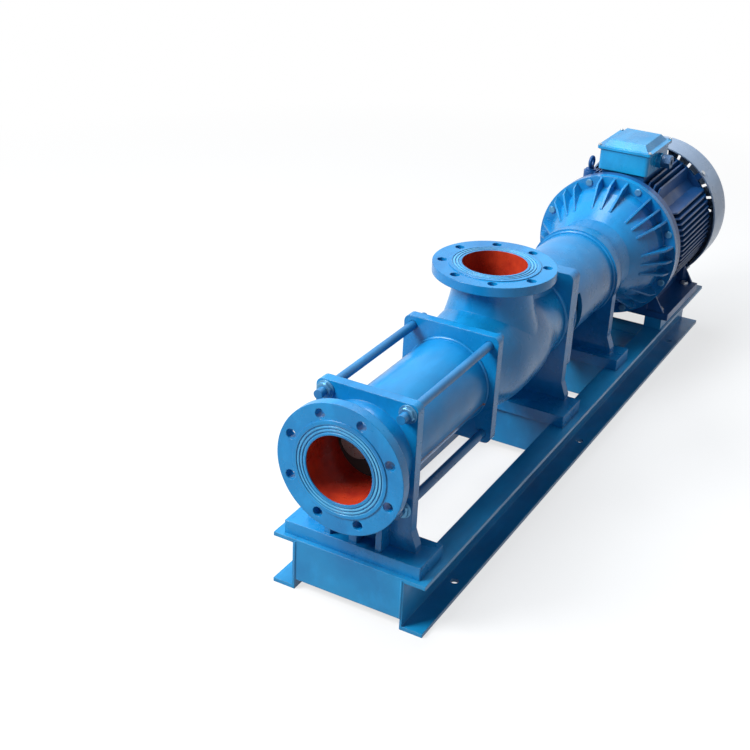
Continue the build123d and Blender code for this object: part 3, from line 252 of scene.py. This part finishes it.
def set_floor():
    """A pale floor that throws less light back up than it shows."""
    deselect()
    bpy.ops.mesh.primitive_plane_add(size=30, location=(0, 0, 0))
    floor = bpy.context.object
    floor.name = "floor"
    material = bpy.data.materials.new("floor")
    material.use_nodes = True
    tree = material.node_tree
    tree.nodes.clear()
    out = tree.nodes.new("ShaderNodeOutputMaterial")
    bounce = tree.nodes.new("ShaderNodeBsdfDiffuse")
    bounce.inputs["Color"].default_value = (0.34, 0.35, 0.37, 1)
    pale = tree.nodes.new("ShaderNodeBsdfDiffuse")
    pale.inputs["Color"].default_value = (0.8, 0.82, 0.84, 1)
    white = tree.nodes.new("ShaderNodeEmission")
    seen = tree.nodes.new("ShaderNodeMixShader")
    tree.links.new(floor_fade(tree), seen.inputs[0])
    tree.links.new(pale.outputs[0], seen.inputs[1])
    tree.links.new(white.outputs[0], seen.inputs[2])
    mix = tree.nodes.new("ShaderNodeMixShader")
    tree.links.new(seen_rays(tree), mix.inputs[0])
    tree.links.new(bounce.outputs[0], mix.inputs[1])
    tree.links.new(seen.outputs[0], mix.inputs[2])
    tree.links.new(mix.outputs[0], out.inputs["Surface"])
    floor.data.materials.append(material)
    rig.stage(floor)


# ---- materials --------------------------------------------------------------------------------------
DUST = (0.16, 0.21, 0.26)
CHIPPED = (0.07, 0.055, 0.045)         # bare iron under the enamel
RUST = (0.20, 0.075, 0.030)
SCRAPE = (0.20, 0.075, 0.035)
RIDGE_HIGHLIGHT = (0.10, 0.42, 0.68)            # painted highlight: a lighter blue on the ridges of the gasket faces
PRIMER, PRIMER_DARK = (0.50, 0.045, 0.015), (0.30, 0.020, 0.010)
SKY, SKY_DARK = (0.004, 0.235, 0.530), (0.002, 0.140, 0.370)
DEEP, DEEP_DARK = (0.008, 0.240, 0.500), (0.004, 0.150, 0.360)
NAVY, NAVY_DARK = (0.006, 0.085, 0.270), (0.003, 0.045, 0.160)
CASING_REACH = 0.1165                  # past every inner wall of the casings, from the pump axis
BORE_REACH = 0.0756                    # just past the port's bore
RING_INNER, RING_OUTER = 0.0795, 0.0985    # the grooved band of the gasket faces
FACE_SKIN = 0.0009                     # less than a groove is deep, so the grooves stay without the painted highlight
PRIMER_START = 0.0025                  # behind the face, deeper than a groove
INWARD = -0.02                         # a wall 20 mm or more from an axis, seen from that axis
SCRAPE_TURN = 0.33                     # angle of the scrape below the barrel's side


class Paint:
    """Builds one node material step by step."""

    def __init__(self, name):
        self.material = bpy.data.materials.new(name)
        self.material.use_nodes = True
        self.tree = self.material.node_tree
        self.shader = self.tree.nodes["Principled BSDF"]
        coords = self.tree.nodes.new("ShaderNodeTexCoord")
        self.where = coords.outputs["Object"]

    def node(self, kind, **values):
        made = self.tree.nodes.new(kind)
        for key, value in values.items():
            setattr(made, key, value)
        return made

    def link(self, a, b):
        self.tree.links.new(a, b)

    def noise(self, scale, detail=4.0, rough=0.55, stretch=None):
        made = self.node("ShaderNodeTexNoise")
        made.inputs["Scale"].default_value = scale
        made.inputs["Detail"].default_value = detail
        made.inputs["Roughness"].default_value = rough
        where = self.where
        if stretch:
            mapping = self.node("ShaderNodeMapping")
            mapping.inputs["Scale"].default_value = stretch
            self.link(where, mapping.inputs["Vector"])
            where = mapping.outputs["Vector"]
        self.link(where, made.inputs["Vector"])
        return made.outputs["Fac"]

    def ramp(self, value, low, high, from_value=0.0, to_value=1.0):
        made = self.node("ShaderNodeMapRange")
        made.inputs["From Min"].default_value = low
        made.inputs["From Max"].default_value = high
        made.inputs["To Min"].default_value = from_value
        made.inputs["To Max"].default_value = to_value
        self.link(value, made.inputs["Value"])
        return made.outputs["Result"]

    def math(self, operation, a, b=None):
        made = self.node("ShaderNodeMath", operation=operation)
        for socket, value in zip(made.inputs, (a, b)):
            if value is None:
                continue
            if isinstance(value, (int, float)):
                socket.default_value = value
            else:
                self.link(value, socket)
        return made.outputs[0]

    def mix(self, fac, a, b):
        made = self.node("ShaderNodeMix", data_type="RGBA")
        self.link(fac, made.inputs[0])
        for index, value in ((6, a), (7, b)):
            if isinstance(value, tuple):
                made.inputs[index].default_value = (*value, 1)
            else:
                self.link(value, made.inputs[index])
        return made.outputs[2]

    def edges(self, radius):
        """1 on worn edges, 0 on open faces."""
        bevel = self.node("ShaderNodeBevel", samples=4)
        bevel.inputs["Radius"].default_value = radius
        geometry = self.node("ShaderNodeNewGeometry")
        dot = self.node("ShaderNodeVectorMath", operation="DOT_PRODUCT")
        self.link(bevel.outputs["Normal"], dot.inputs[0])
        self.link(geometry.outputs["Normal"], dot.inputs[1])
        gap = self.math("SUBTRACT", 1.0, dot.outputs["Value"])
        return self.ramp(gap, 0.02, 0.25)

    def place(self):
        split = self.node("ShaderNodeSeparateXYZ")
        self.link(self.where, split.inputs[0])
        return split.outputs

    def radius_from(self, a, b, centre_a, centre_b):
        da = self.math("SUBTRACT", a, centre_a)
        db = self.math("SUBTRACT", b, centre_b)
        squares = self.math("ADD", self.math("MULTIPLY", da, da), self.math("MULTIPLY", db, db))
        return self.math("SQRT", squares)

    def finish(self, colour, roughness, bumps, bevel, metallic=0.0, coat=0.0):
        """Links the colour and roughness, and lays each bump over rounded edges."""
        shader = self.shader
        self.link(colour, shader.inputs["Base Color"])
        self.link(roughness, shader.inputs["Roughness"])
        shader.inputs["Metallic"].default_value = metallic
        shader.inputs["Coat Weight"].default_value = coat
        shader.inputs["Coat Roughness"].default_value = 0.12
        round_edge = self.node("ShaderNodeBevel", samples=4)
        round_edge.inputs["Radius"].default_value = bevel
        normal = round_edge.outputs["Normal"]
        for height, strength, distance in bumps:
            bump = self.node("ShaderNodeBump")
            bump.inputs["Strength"].default_value = strength
            bump.inputs["Distance"].default_value = distance
            self.link(height, bump.inputs["Height"])
            self.link(normal, bump.inputs["Normal"])
            normal = bump.outputs["Normal"]
        self.link(normal, shader.inputs["Normal"])
        return self.material


def enamel(name, light, dark, wear, gloss, cast, marks=None):
    """Brushed or sprayed gloss enamel over cast iron or steel, with chips on its edges."""
    p = Paint(name)
    cloud = p.ramp(p.noise(5.0, 5.0), 0.35, 0.68)
    colour = p.mix(cloud, dark, light)
    streak = p.ramp(p.noise(14.0, 4.0, stretch=(0.35, 1.6, 1.0)), 0.52, 0.72, 0.0, 0.30)
    colour = p.mix(streak, colour, tuple(min(1.0, v * 1.4 + 0.004) for v in light))
    dust = p.ramp(p.noise(3.2, 6.0, 0.65), 0.60, 0.82, 0.0, 0.07)
    colour = p.mix(dust, colour, DUST)
    if marks:
        colour = marks(p, colour)
    breakup = p.ramp(p.noise(85.0, 5.0, 0.7), 0.50, 0.60)
    chip = p.math("MULTIPLY", p.edges(0.0025), p.math("MULTIPLY", breakup, wear))
    colour = p.mix(chip, colour, CHIPPED)
    rough = p.ramp(p.noise(18.0, 4.0), 0.3, 0.7, gloss, gloss + 0.18)
    rough = p.math("MAXIMUM", rough, p.math("MULTIPLY", chip, 0.7))
    bumps = [(p.noise(240.0, 2.0), 0.10 + cast * 0.25, 0.0006), (p.noise(28.0, 5.0), cast, 0.0012)]
    p.shader.inputs["Specular IOR Level"].default_value = 0.30
    return p.finish(colour, rough, bumps, 0.0028, coat=0.12)


def facing_in(p, a, b, centre_a, centre_b, normal_a, normal_b, reach):
    """1 where a face lies within reach of an axis and looks towards it."""
    da = p.math("SUBTRACT", a, centre_a)
    db = p.math("SUBTRACT", b, centre_b)
    dot = p.math("ADD", p.math("MULTIPLY", da, normal_a), p.math("MULTIPLY", db, normal_b))
    near = p.math("LESS_THAN", p.radius_from(a, b, centre_a, centre_b), reach)
    return p.math("MULTIPLY", near, p.math("LESS_THAN", dot, INWARD))


def ridge_highlight_rings(p, on_face, a, b, centre_a, centre_b):
    """The ridges between the gasket grooves, with a lighter blue painted on them as a highlight."""
    radius = p.radius_from(a, b, centre_a, centre_b)
    past_inner = p.math("GREATER_THAN", radius, RING_INNER)
    band = p.math("MULTIPLY", past_inner, p.math("LESS_THAN", radius, RING_OUTER))
    # painted highlight, its strength varied by noise
    highlight_spread = p.ramp(p.noise(9.0, 4.0), 0.35, 0.65, 0.25, 0.85)
    return p.math("MULTIPLY", p.math("MULTIPLY", band, on_face), highlight_spread)


def casing_marks(p, colour):
    """Red primer inside the pipe bores and the casings, and a painted highlight on the ridges of the gasket faces."""
    x, y, z = p.place()
    geometry = p.node("ShaderNodeNewGeometry")
    split = p.node("ShaderNodeSeparateXYZ")
    p.link(geometry.outputs["True Normal"], split.inputs[0])
    normal_x, normal_y, normal_z = split.outputs
    along = facing_in(p, y, z, 0.0, AXIS, normal_y, normal_z, CASING_REACH)
    along = p.math("MULTIPLY", along, p.math("GREATER_THAN", x, FACE_X + PRIMER_START))
    down = facing_in(p, x, y, PORT_X, 0.0, normal_x, normal_y, BORE_REACH)
    inside = p.math("MAXIMUM", along, p.math("MULTIPLY", down, p.math("GREATER_THAN", z, AXIS)))
    patch = p.ramp(p.noise(22.0, 5.0), 0.35, 0.7)
    red = p.mix(patch, PRIMER_DARK, PRIMER)
    colour = p.mix(inside, colour, red)
    # painted highlight: a lighter blue on the ridges of the front and top gasket faces
    front = p.math("LESS_THAN", x, FACE_X + FACE_SKIN)
    top = p.math("GREATER_THAN", z, PORT_Z - FACE_SKIN)
    front_rings = ridge_highlight_rings(p, front, y, z, 0.0, AXIS)
    top_rings = ridge_highlight_rings(p, top, x, y, PORT_X, 0.0)
    return p.mix(p.math("MAXIMUM", front_rings, top_rings), colour, RIDGE_HIGHLIGHT)


def scraped(p, colour):
    """A thin broken scrape along the barrel's lower side."""
    x, y, z = p.place()
    turn = p.math("ARCTAN2", p.math("SUBTRACT", z, AXIS), p.math("MULTIPLY", y, -1.0))
    wander = p.math("MULTIPLY", p.math("SUBTRACT", p.noise(7.0, 3.0), 0.5), 0.05)
    off = p.math("ABSOLUTE", p.math("ADD", p.math("ADD", turn, SCRAPE_TURN), wander))
    line = p.ramp(off, 0.016, 0.034, 1.0, 0.0)
    broken = p.ramp(p.noise(30.0, 4.0, stretch=(0.5, 2.0, 2.0)), 0.34, 0.48)
    return p.mix(p.math("MULTIPLY", line, broken), colour, SCRAPE)


def metal(name, base, rough, metallic=1.0, grain=(1, 1, 1), rust=0.0):
    """Bare, plated or turned steel."""
    p = Paint(name)
    tone = p.ramp(p.noise(40.0, 5.0), 0.3, 0.7)
    colour = p.mix(tone, tuple(v * 0.72 for v in base), base)
    if rust:
        spot = p.ramp(p.noise(55.0, 6.0, 0.7), 0.58, 0.70, 0.0, rust)
        colour = p.mix(spot, colour, RUST)
    lines = p.noise(220.0, 3.0, stretch=grain)
    roughness = p.ramp(lines, 0.3, 0.7, rough, rough + 0.18)
    worn = p.math("MULTIPLY", p.edges(0.0012), 0.5)
    colour = p.mix(worn, colour, tuple(min(1.0, v * 1.3) for v in base))
    return p.finish(colour, roughness, [(lines, 0.12, 0.0003)], 0.0008, metallic)


def soft(name, base, rough, scale=120.0):
    """Rubber, plastic or packing."""
    p = Paint(name)
    tone = p.ramp(p.noise(scale * 0.2, 4.0), 0.3, 0.7)
    colour = p.mix(tone, tuple(v * 0.6 for v in base), base)
    colour = p.mix(p.math("MULTIPLY", p.edges(0.002), 0.3), colour, tuple(v * 1.8 + 0.02 for v in base))
    roughness = p.ramp(p.noise(scale * 0.5), 0.3, 0.7, rough - 0.08, rough + 0.1)
    return p.finish(colour, roughness, [(p.noise(scale, 3.0), 0.25, 0.0005)], 0.001)


LOOKS = {
    "casing_paint": enamel("casing_paint", SKY, SKY_DARK, 0.55, 0.20, 0.45, casing_marks),
    "tube_paint": enamel("tube_paint", SKY, SKY_DARK, 0.4, 0.27, 0.12, scraped),
    "bracket_paint": enamel("bracket_paint", (0.005, 0.225, 0.520), (0.003, 0.130, 0.350), 0.5, 0.20, 0.5),
    "motor_paint": enamel("motor_paint", NAVY, NAVY_DARK, 0.55, 0.30, 0.3),
    "box_paint": enamel("box_paint", (0.006, 0.280, 0.560), (0.003, 0.180, 0.420), 0.4, 0.22, 0.3),
    "cowl_paint": enamel("cowl_paint", (0.270, 0.370, 0.520), (0.200, 0.290, 0.430), 0.35, 0.22, 0.05),
    "rail_paint": enamel("rail_paint", DEEP, DEEP_DARK, 0.7, 0.28, 0.35),
    "nut_steel": metal("nut_steel", (0.50, 0.53, 0.56), 0.26, 0.9, rust=0.25),
    "nut_paint": metal("nut_paint", (0.10, 0.30, 0.50), 0.28, 0.55, rust=0.15),
    "rod_steel": enamel("rod_steel", (0.020, 0.190, 0.430), (0.010, 0.110, 0.280), 0.6, 0.25, 0.15),
    "screw_steel": metal("screw_steel", (0.38, 0.39, 0.40), 0.24, 1.0, (3, 1, 1)),
    "shaft_steel": metal("shaft_steel", (0.50, 0.51, 0.52), 0.24, 1.0, (6, 1, 1)),
    "bearing_steel": metal("bearing_steel", (0.60, 0.61, 0.62), 0.16),
    "stator_rubber": soft("stator_rubber", (0.022, 0.022, 0.024), 0.55),
    "boot_rubber": soft("boot_rubber", (0.028, 0.028, 0.030), 0.6),
    "packing": soft("packing", (0.40, 0.36, 0.27), 0.85, 300.0),
    "gland_metal": metal("gland_metal", (0.22, 0.22, 0.23), 0.42, 0.8, rust=0.3),
    "coupling_iron": metal("coupling_iron", (0.13, 0.135, 0.14), 0.45, 0.7, rust=0.35),
    "fan_plastic": soft("fan_plastic", (0.030, 0.032, 0.036), 0.5),
    "core_steel": metal("core_steel", (0.30, 0.30, 0.31), 0.4, 0.9, (40, 1, 1), rust=0.3),
    "cable_plastic": enamel("cable_plastic", (0.025, 0.120, 0.280), (0.012, 0.070, 0.180), 0.3, 0.35, 0.1),
}


def dress_nodes():
    """Gives each node the look of its material slot."""
    for part in frame["record"]["subparts"]:
        node = frame["nodes"][part["node"]]
        look = LOOKS[part["material_slot"]]
        if not node.data.materials:
            node.data.materials.append(look)
        for slot in node.material_slots:
            slot.material = look


# ---- pieces -----------------------------------------------------------------------------------------
SMOOTH_ANGLE = radians(30)


def settle(piece, name, look):
    """Names a finished piece, gives it its look, and freezes its place into its mesh."""
    deselect()
    piece.select_set(True)
    bpy.context.view_layer.objects.active = piece
    bpy.ops.object.transform_apply(location=True, rotation=True, scale=True)
    bpy.ops.object.shade_smooth_by_angle(angle=SMOOTH_ANGLE)
    piece.name = name
    piece.data.name = name
    piece.data.materials.clear()
    piece.data.materials.append(LOOKS[look])
    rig.ride(piece, "pump_frame")
    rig.slot(piece, look)
    return piece


def apply_modifiers(piece):
    deselect()
    piece.select_set(True)
    bpy.context.view_layer.objects.active = piece
    for modifier in list(piece.modifiers):
        bpy.ops.object.modifier_apply(modifier=modifier.name)


def soften(piece, name, width, segments=2):
    """Rounds the sharp edges of a piece."""
    bevel = piece.modifiers.new(name, "BEVEL")
    bevel.width = width
    bevel.segments = segments
    bevel.limit_method = "ANGLE"
    apply_modifiers(piece)


def cut_with(piece, name, tool, operation="DIFFERENCE"):
    """Cuts a piece with a tool, and uses the tool up."""
    cut = piece.modifiers.new(name, "BOOLEAN")
    cut.operation = operation
    cut.solver = "EXACT"
    cut.object = tool
    apply_modifiers(piece)
    bpy.data.objects.remove(tool)


def join(pieces):
    deselect()
    for piece in pieces:
        piece.select_set(True)
    bpy.context.view_layer.objects.active = pieces[0]
    bpy.ops.object.join()
    return bpy.context.object


def cylinder(radius, depth, place, axis="X", sides=48):
    """A round or many sided bar, centred at place."""
    deselect()
    bpy.ops.mesh.primitive_cylinder_add(
        vertices=sides, radius=radius, depth=depth, location=place, rotation=TURNS[axis])
    return bpy.context.object


def ring_bead(radius, thick, place, axis="X"):
    """A round bead of cast fillet or weld about an axis."""
    deselect()
    bpy.ops.mesh.primitive_torus_add(
        major_radius=radius, minor_radius=thick, major_segments=120, minor_segments=10,
        location=place, rotation=TURNS[axis])
    return bpy.context.object


def straight_bead(start, end, thick):
    """A weld run between two points, with rounded ends."""
    start, end = Vector(start), Vector(end)
    deselect()
    bpy.ops.mesh.primitive_cylinder_add(
        vertices=10, radius=thick, depth=(end - start).length, location=(start + end) / 2,
        rotation=(end - start).to_track_quat("Z", "Y").to_euler())
    bead = bpy.context.object
    soften(bead, "ends", thick * 0.6)
    return bead


def hex_block(across, height, bore=0.0):
    """A hexagon with its corners turned off on top and below, standing on Z at the origin."""
    block = cylinder(across / 2 / cos(pi / 6), height, (0, 0, height / 2), "Z", 6)
    turned = cylinder(across / 2 * 1.13, height, (0, 0, height / 2), "Z")
    soften(turned, "turned", across * 0.10, 3)
    cut_with(block, "corners", turned, "INTERSECT")
    if bore:
        cut_with(block, "bore", cylinder(bore, height * 3, (0, 0, 0), "Z", 32))
    return block


def washer(outer, thick):
    """A washer with softened rims, standing on Z."""
    disc = cylinder(outer, thick, (0, 0, thick / 2), "Z")
    soften(disc, "rim", thick * 0.22)
    return disc


def bolt_head(across, height, washer_radius, washer_thick):
    """A washer with a hexagon head on it, standing on Z at the origin."""
    head = hex_block(across, height)
    head.location.z = washer_thick
    return join([washer(washer_radius, washer_thick), head])


def thread_end(radius, length):
    """A threaded stud end standing on Z: every second ring of it is drawn in."""
    stud = cylinder(radius, length, (0, 0, length / 2), "Z", 32)
    bpy.ops.object.mode_set(mode="EDIT")
    rows = int(length / THREAD_PITCH * 2)
    for k in range(1, rows):
        bpy.ops.mesh.select_all(action="SELECT")
        bpy.ops.mesh.bisect(plane_co=(0, 0, length * k / rows), plane_no=(0, 0, 1))
    bpy.ops.mesh.select_all(action="DESELECT")
    bpy.ops.object.mode_set(mode="OBJECT")
    for vertex in stud.data.vertices:
        vertex.select = round(vertex.co.z / length * rows + rows / 2) % 2 == 0
    bpy.ops.object.mode_set(mode="EDIT")
    bpy.ops.mesh.select_mode(type="VERT")
    bpy.ops.transform.resize(value=(0.93, 0.93, 1), center_override=(0, 0, 0))
    bpy.ops.object.mode_set(mode="OBJECT")
    return stud


def copies(model, places):
    """Copies of a piece that stands on Z, each turned to a direction and moved; the model is used up."""
    made = []
    for place, ahead, twist in places:
        piece = model.copy()
        piece.data = model.data.copy()
        bpy.context.collection.objects.link(piece)
        turn = Vector(ahead).to_track_quat("Z", "Y").to_matrix().to_4x4()
        spin = Matrix.Rotation(twist, 4, "Z")
        piece.matrix_world = Matrix.Translation(place) @ turn @ spin @ model.matrix_world
        made.append(piece)
    bpy.data.objects.remove(model)
    return join(made)


def tie_nuts():
    """Chamfered nuts and washers of the four tie rods."""
    low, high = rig.box("tie_rods")
    radius = 0.010
    spots = [(y, z) for y in (low[1] + radius, high[1] - radius)
             for z in (low[2] + radius, high[2] - radius)]
    front = STATOR[0][0] - PLATE
    back = STATOR[1][0] + PLATE
    washer_thick = 0.003
    nut = hex_block(0.030, 0.016, bore=radius + 0.0001)
    nut.location.z = washer_thick
    nut = join([washer(0.020, washer_thick), nut])
    places = [((front, y, z), (-1, 0, 0), 0.3 * k) for k, (y, z) in enumerate(spots)]
    places += [((back, y, z), (1, 0, 0), 0.2 + 0.4 * k) for k, (y, z) in enumerate(spots)]
    piece = settle(copies(nut, places), "tie_nuts", "nut_paint")
    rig.replaces(piece, "tie_rod_nuts")


def bell_heads():
    """Bolt heads, nuts and thread ends round the motor flange."""
    low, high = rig.box("drive_end_shield")
    x_head = low[0] - BELL_FLANGE
    x_nut = high[0] - SHIELD_SPIGOT
    angles = [pi / MOTOR_BOLTS + k * 2 * pi / MOTOR_BOLTS for k in range(MOTOR_BOLTS)]
    ring = [(MOTOR_BOLT_RING * cos(a), AXIS + MOTOR_BOLT_RING * sin(a)) for a in angles]
    head = bolt_head(BOLT_ACROSS, height=0.0062, washer_radius=0.0098, washer_thick=0.0015)
    heads = copies(head, [((x_head, y, z), (-1, 0, 0), 0.35 * k) for k, (y, z) in enumerate(ring)])
    nut = join([hex_block(BOLT_ACROSS, 0.0095), thread_end(radius=0.0058, length=0.0118)])
    nuts = copies(nut, [((x_nut, y, z), (1, 0, 0), 0.2 * k) for k, (y, z) in enumerate(ring)])
    piece = settle(join([heads, nuts]), "bell_bolt_heads", "nut_paint")
    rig.replaces(piece, "bell_bolts")


def motor_foot_heads():
    """Bolt heads, washers, nuts and thread ends of the motor's feet."""
    low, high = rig.box("motor_foot_bolts")
    washer_radius, washer_thick, head_height = 0.012, 0.0025, 0.0078
    spots = [(x, y) for x in (low[0] + washer_radius, high[0] - washer_radius)
             for y in (low[1] + washer_radius, high[1] - washer_radius)]
    top = high[2] - head_height - washer_thick
    head = bolt_head(BOLT_ACROSS, head_height - 0.0002, washer_radius, washer_thick)
    heads = copies(head, [((x, y, top), (0, 0, 1), 0.5 * k) for k, (x, y) in enumerate(spots)])
    nut = join([hex_block(BOLT_ACROSS, 0.0096), thread_end(radius=0.006, length=0.0153)])
    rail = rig.box("base_rail_left")[1][2] - RAIL_FLANGE
    nuts = copies(nut, [((x, y, rail), (0, 0, -1), 0.4 * k) for k, (x, y) in enumerate(spots)])
    piece = settle(join([heads, nuts]), "motor_foot_heads", "nut_steel")
    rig.replaces(piece, "motor_foot_bolts")


def cast_fillets():
    """Fillets where turned flanges and plates meet the cast barrels."""
    x_front, x_back = STATOR[1][0] + PLATE, BRACKET_X - PLATE
    beads = [
        ring_bead(DISCHARGE_NECK + 0.0015, 0.005, (FACE_X + FLANGE + 0.0005, 0, AXIS)),
        ring_bead(PORT_NECK + 0.0015, 0.005, (PORT_X, 0, PORT_Z - FLANGE - 0.0005), "Z"),
        ring_bead(CASING_BARREL + 0.001, 0.006, (x_front + 0.001, 0, AXIS)),
        ring_bead(CASING_BARREL + 0.001, 0.006, (x_back - 0.001, 0, AXIS)),
    ]
    settle(join(beads), "cast_fillets", "casing_paint")
    tube = [
        ring_bead(STATOR_BARREL + 0.0005, 0.004, (STATOR[0][0] + 0.0015, 0, AXIS)),
        ring_bead(STATOR_BARREL + 0.0005, 0.004, (STATOR[1][0] - 0.0015, 0, AXIS)),
    ]
    settle(join(tube), "barrel_seams", "tube_paint")
    rings = [
        ring_bead(BRACKET_BARREL + 0.001, 0.005, (BRACKET_X + BRACKET_ARCH_AT - 0.0005, 0, AXIS)),
        ring_bead(BRACKET_BARREL + 0.001, 0.005, (BRACKET_X + BRACKET_PLATE + 0.0005, 0, AXIS)),
    ]
    settle(join(rings), "bracket_fillets", "bracket_paint")


def base_welds():
    """Weld runs between the cross channels, the rails and the risers."""
    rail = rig.box("base_rail_left")
    inner = rail[0][1]
    top = rail[1][2]
    foot = top - CROSS_HEIGHT
    upright_weld, riser_weld, sunk = 0.0032, 0.0030, 0.0008
    runs = []
    for middle in CROSS_MIDDLES:
        for side in (-1, 1):
            x = middle + side * (CROSS_HALF_WIDTH - sunk)
            for y in (-inner, inner):
                runs.append(straight_bead((x, y, foot + 0.002), (x, y, top - 0.004), upright_weld))
    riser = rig.box("motor_risers")
    for y in (riser[0][1], riser[1][1]):
        start = (riser[0][0] + 0.004, y, top + 0.001)
        end = (riser[1][0] - 0.004, y, top + 0.001)
        runs.append(straight_bead(start, end, riser_weld))
    settle(join(runs), "base_welds", "rail_paint")


def cowl_rim():
    """The rolled front edge of the fan cowl, and the two pressed rings on its end."""
    low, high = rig.box("fan_cowl")
    radius, roll = (high[1] - low[1]) / 2, 0.0026
    rim = ring_bead(radius - roll, roll, (low[0] + roll, 0, AXIS))
    centre = ring_bead(0.034, 0.0018, (high[0] - 0.0020, 0, AXIS))
    middle = ring_bead(0.103, 0.0016, (high[0] - 0.0018, 0, AXIS))
    settle(join([rim, centre, middle]), "cowl_rim", "cowl_paint")


def box_gasket():
    """The dark seal that shows under the terminal box's lid."""
    low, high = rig.box("terminal_box_lid")
    deselect()
    thick, inset = 0.0024, 0.0045
    centre = ((low[0] + high[0]) / 2, (low[1] + high[1]) / 2, low[2] - thick / 2)
    bpy.ops.mesh.primitive_cube_add(size=1, location=centre)
    band = bpy.context.object
    band.scale = (high[0] - low[0] - 2 * inset, high[1] - low[1] - 2 * inset, thick)
    bpy.ops.object.transform_apply(location=False, rotation=False, scale=True)
    soften(band, "corners", 0.0009)
    settle(band, "box_gasket", "boot_rubber")


def lid_heads():
    """Slotted screws in the lid's corners."""
    low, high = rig.box("lid_screws")
    radius = 0.0045
    spots = [(x, y) for x in (low[0] + radius, high[0] - radius)
             for y in (low[1] + radius, high[1] - radius)]
    head = washer(radius, 0.005)
    cut_with(head, "slot", cylinder(0.0006, 0.012, (0, 0, 0.005), "X", 8))
    places = [((x, y, low[2]), (0, 0, 1), 0.6 * k) for k, (x, y) in enumerate(spots)]
    piece = settle(copies(head, places), "lid_screw_heads", "nut_steel")
    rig.replaces(piece, "lid_screws")


set_camera()
set_world()
set_floor()
area_light("key", (-3.0, 2.4, 3.2), (-0.3, 0, 0.35), (1.8, 1.8), 300, (1.0, 0.99, 0.97))
area_light("top", (0.2, 0.8, 3.4), (0, 0, 0.4), (3.4, 1.2), 110, (0.95, 0.98, 1.0))
area_light("side", (-1.0, -3.4, 1.5), (0, 0, 0.3), (2.4, 1.4), 8, (0.90, 0.95, 1.0))
dress_nodes()
tie_nuts()
bell_heads()
motor_foot_heads()
cast_fillets()
base_welds()
cowl_rim()
box_gasket()
lid_heads()
bpy.context.scene.view_settings.view_transform = "Standard"

with open("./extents.json") as kept:
    sizes = json.load(kept)
sizes["visual"] = [list(map(float, v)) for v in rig.bounds()]
with open("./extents.json", "w") as out:
    json.dump(sizes, out)
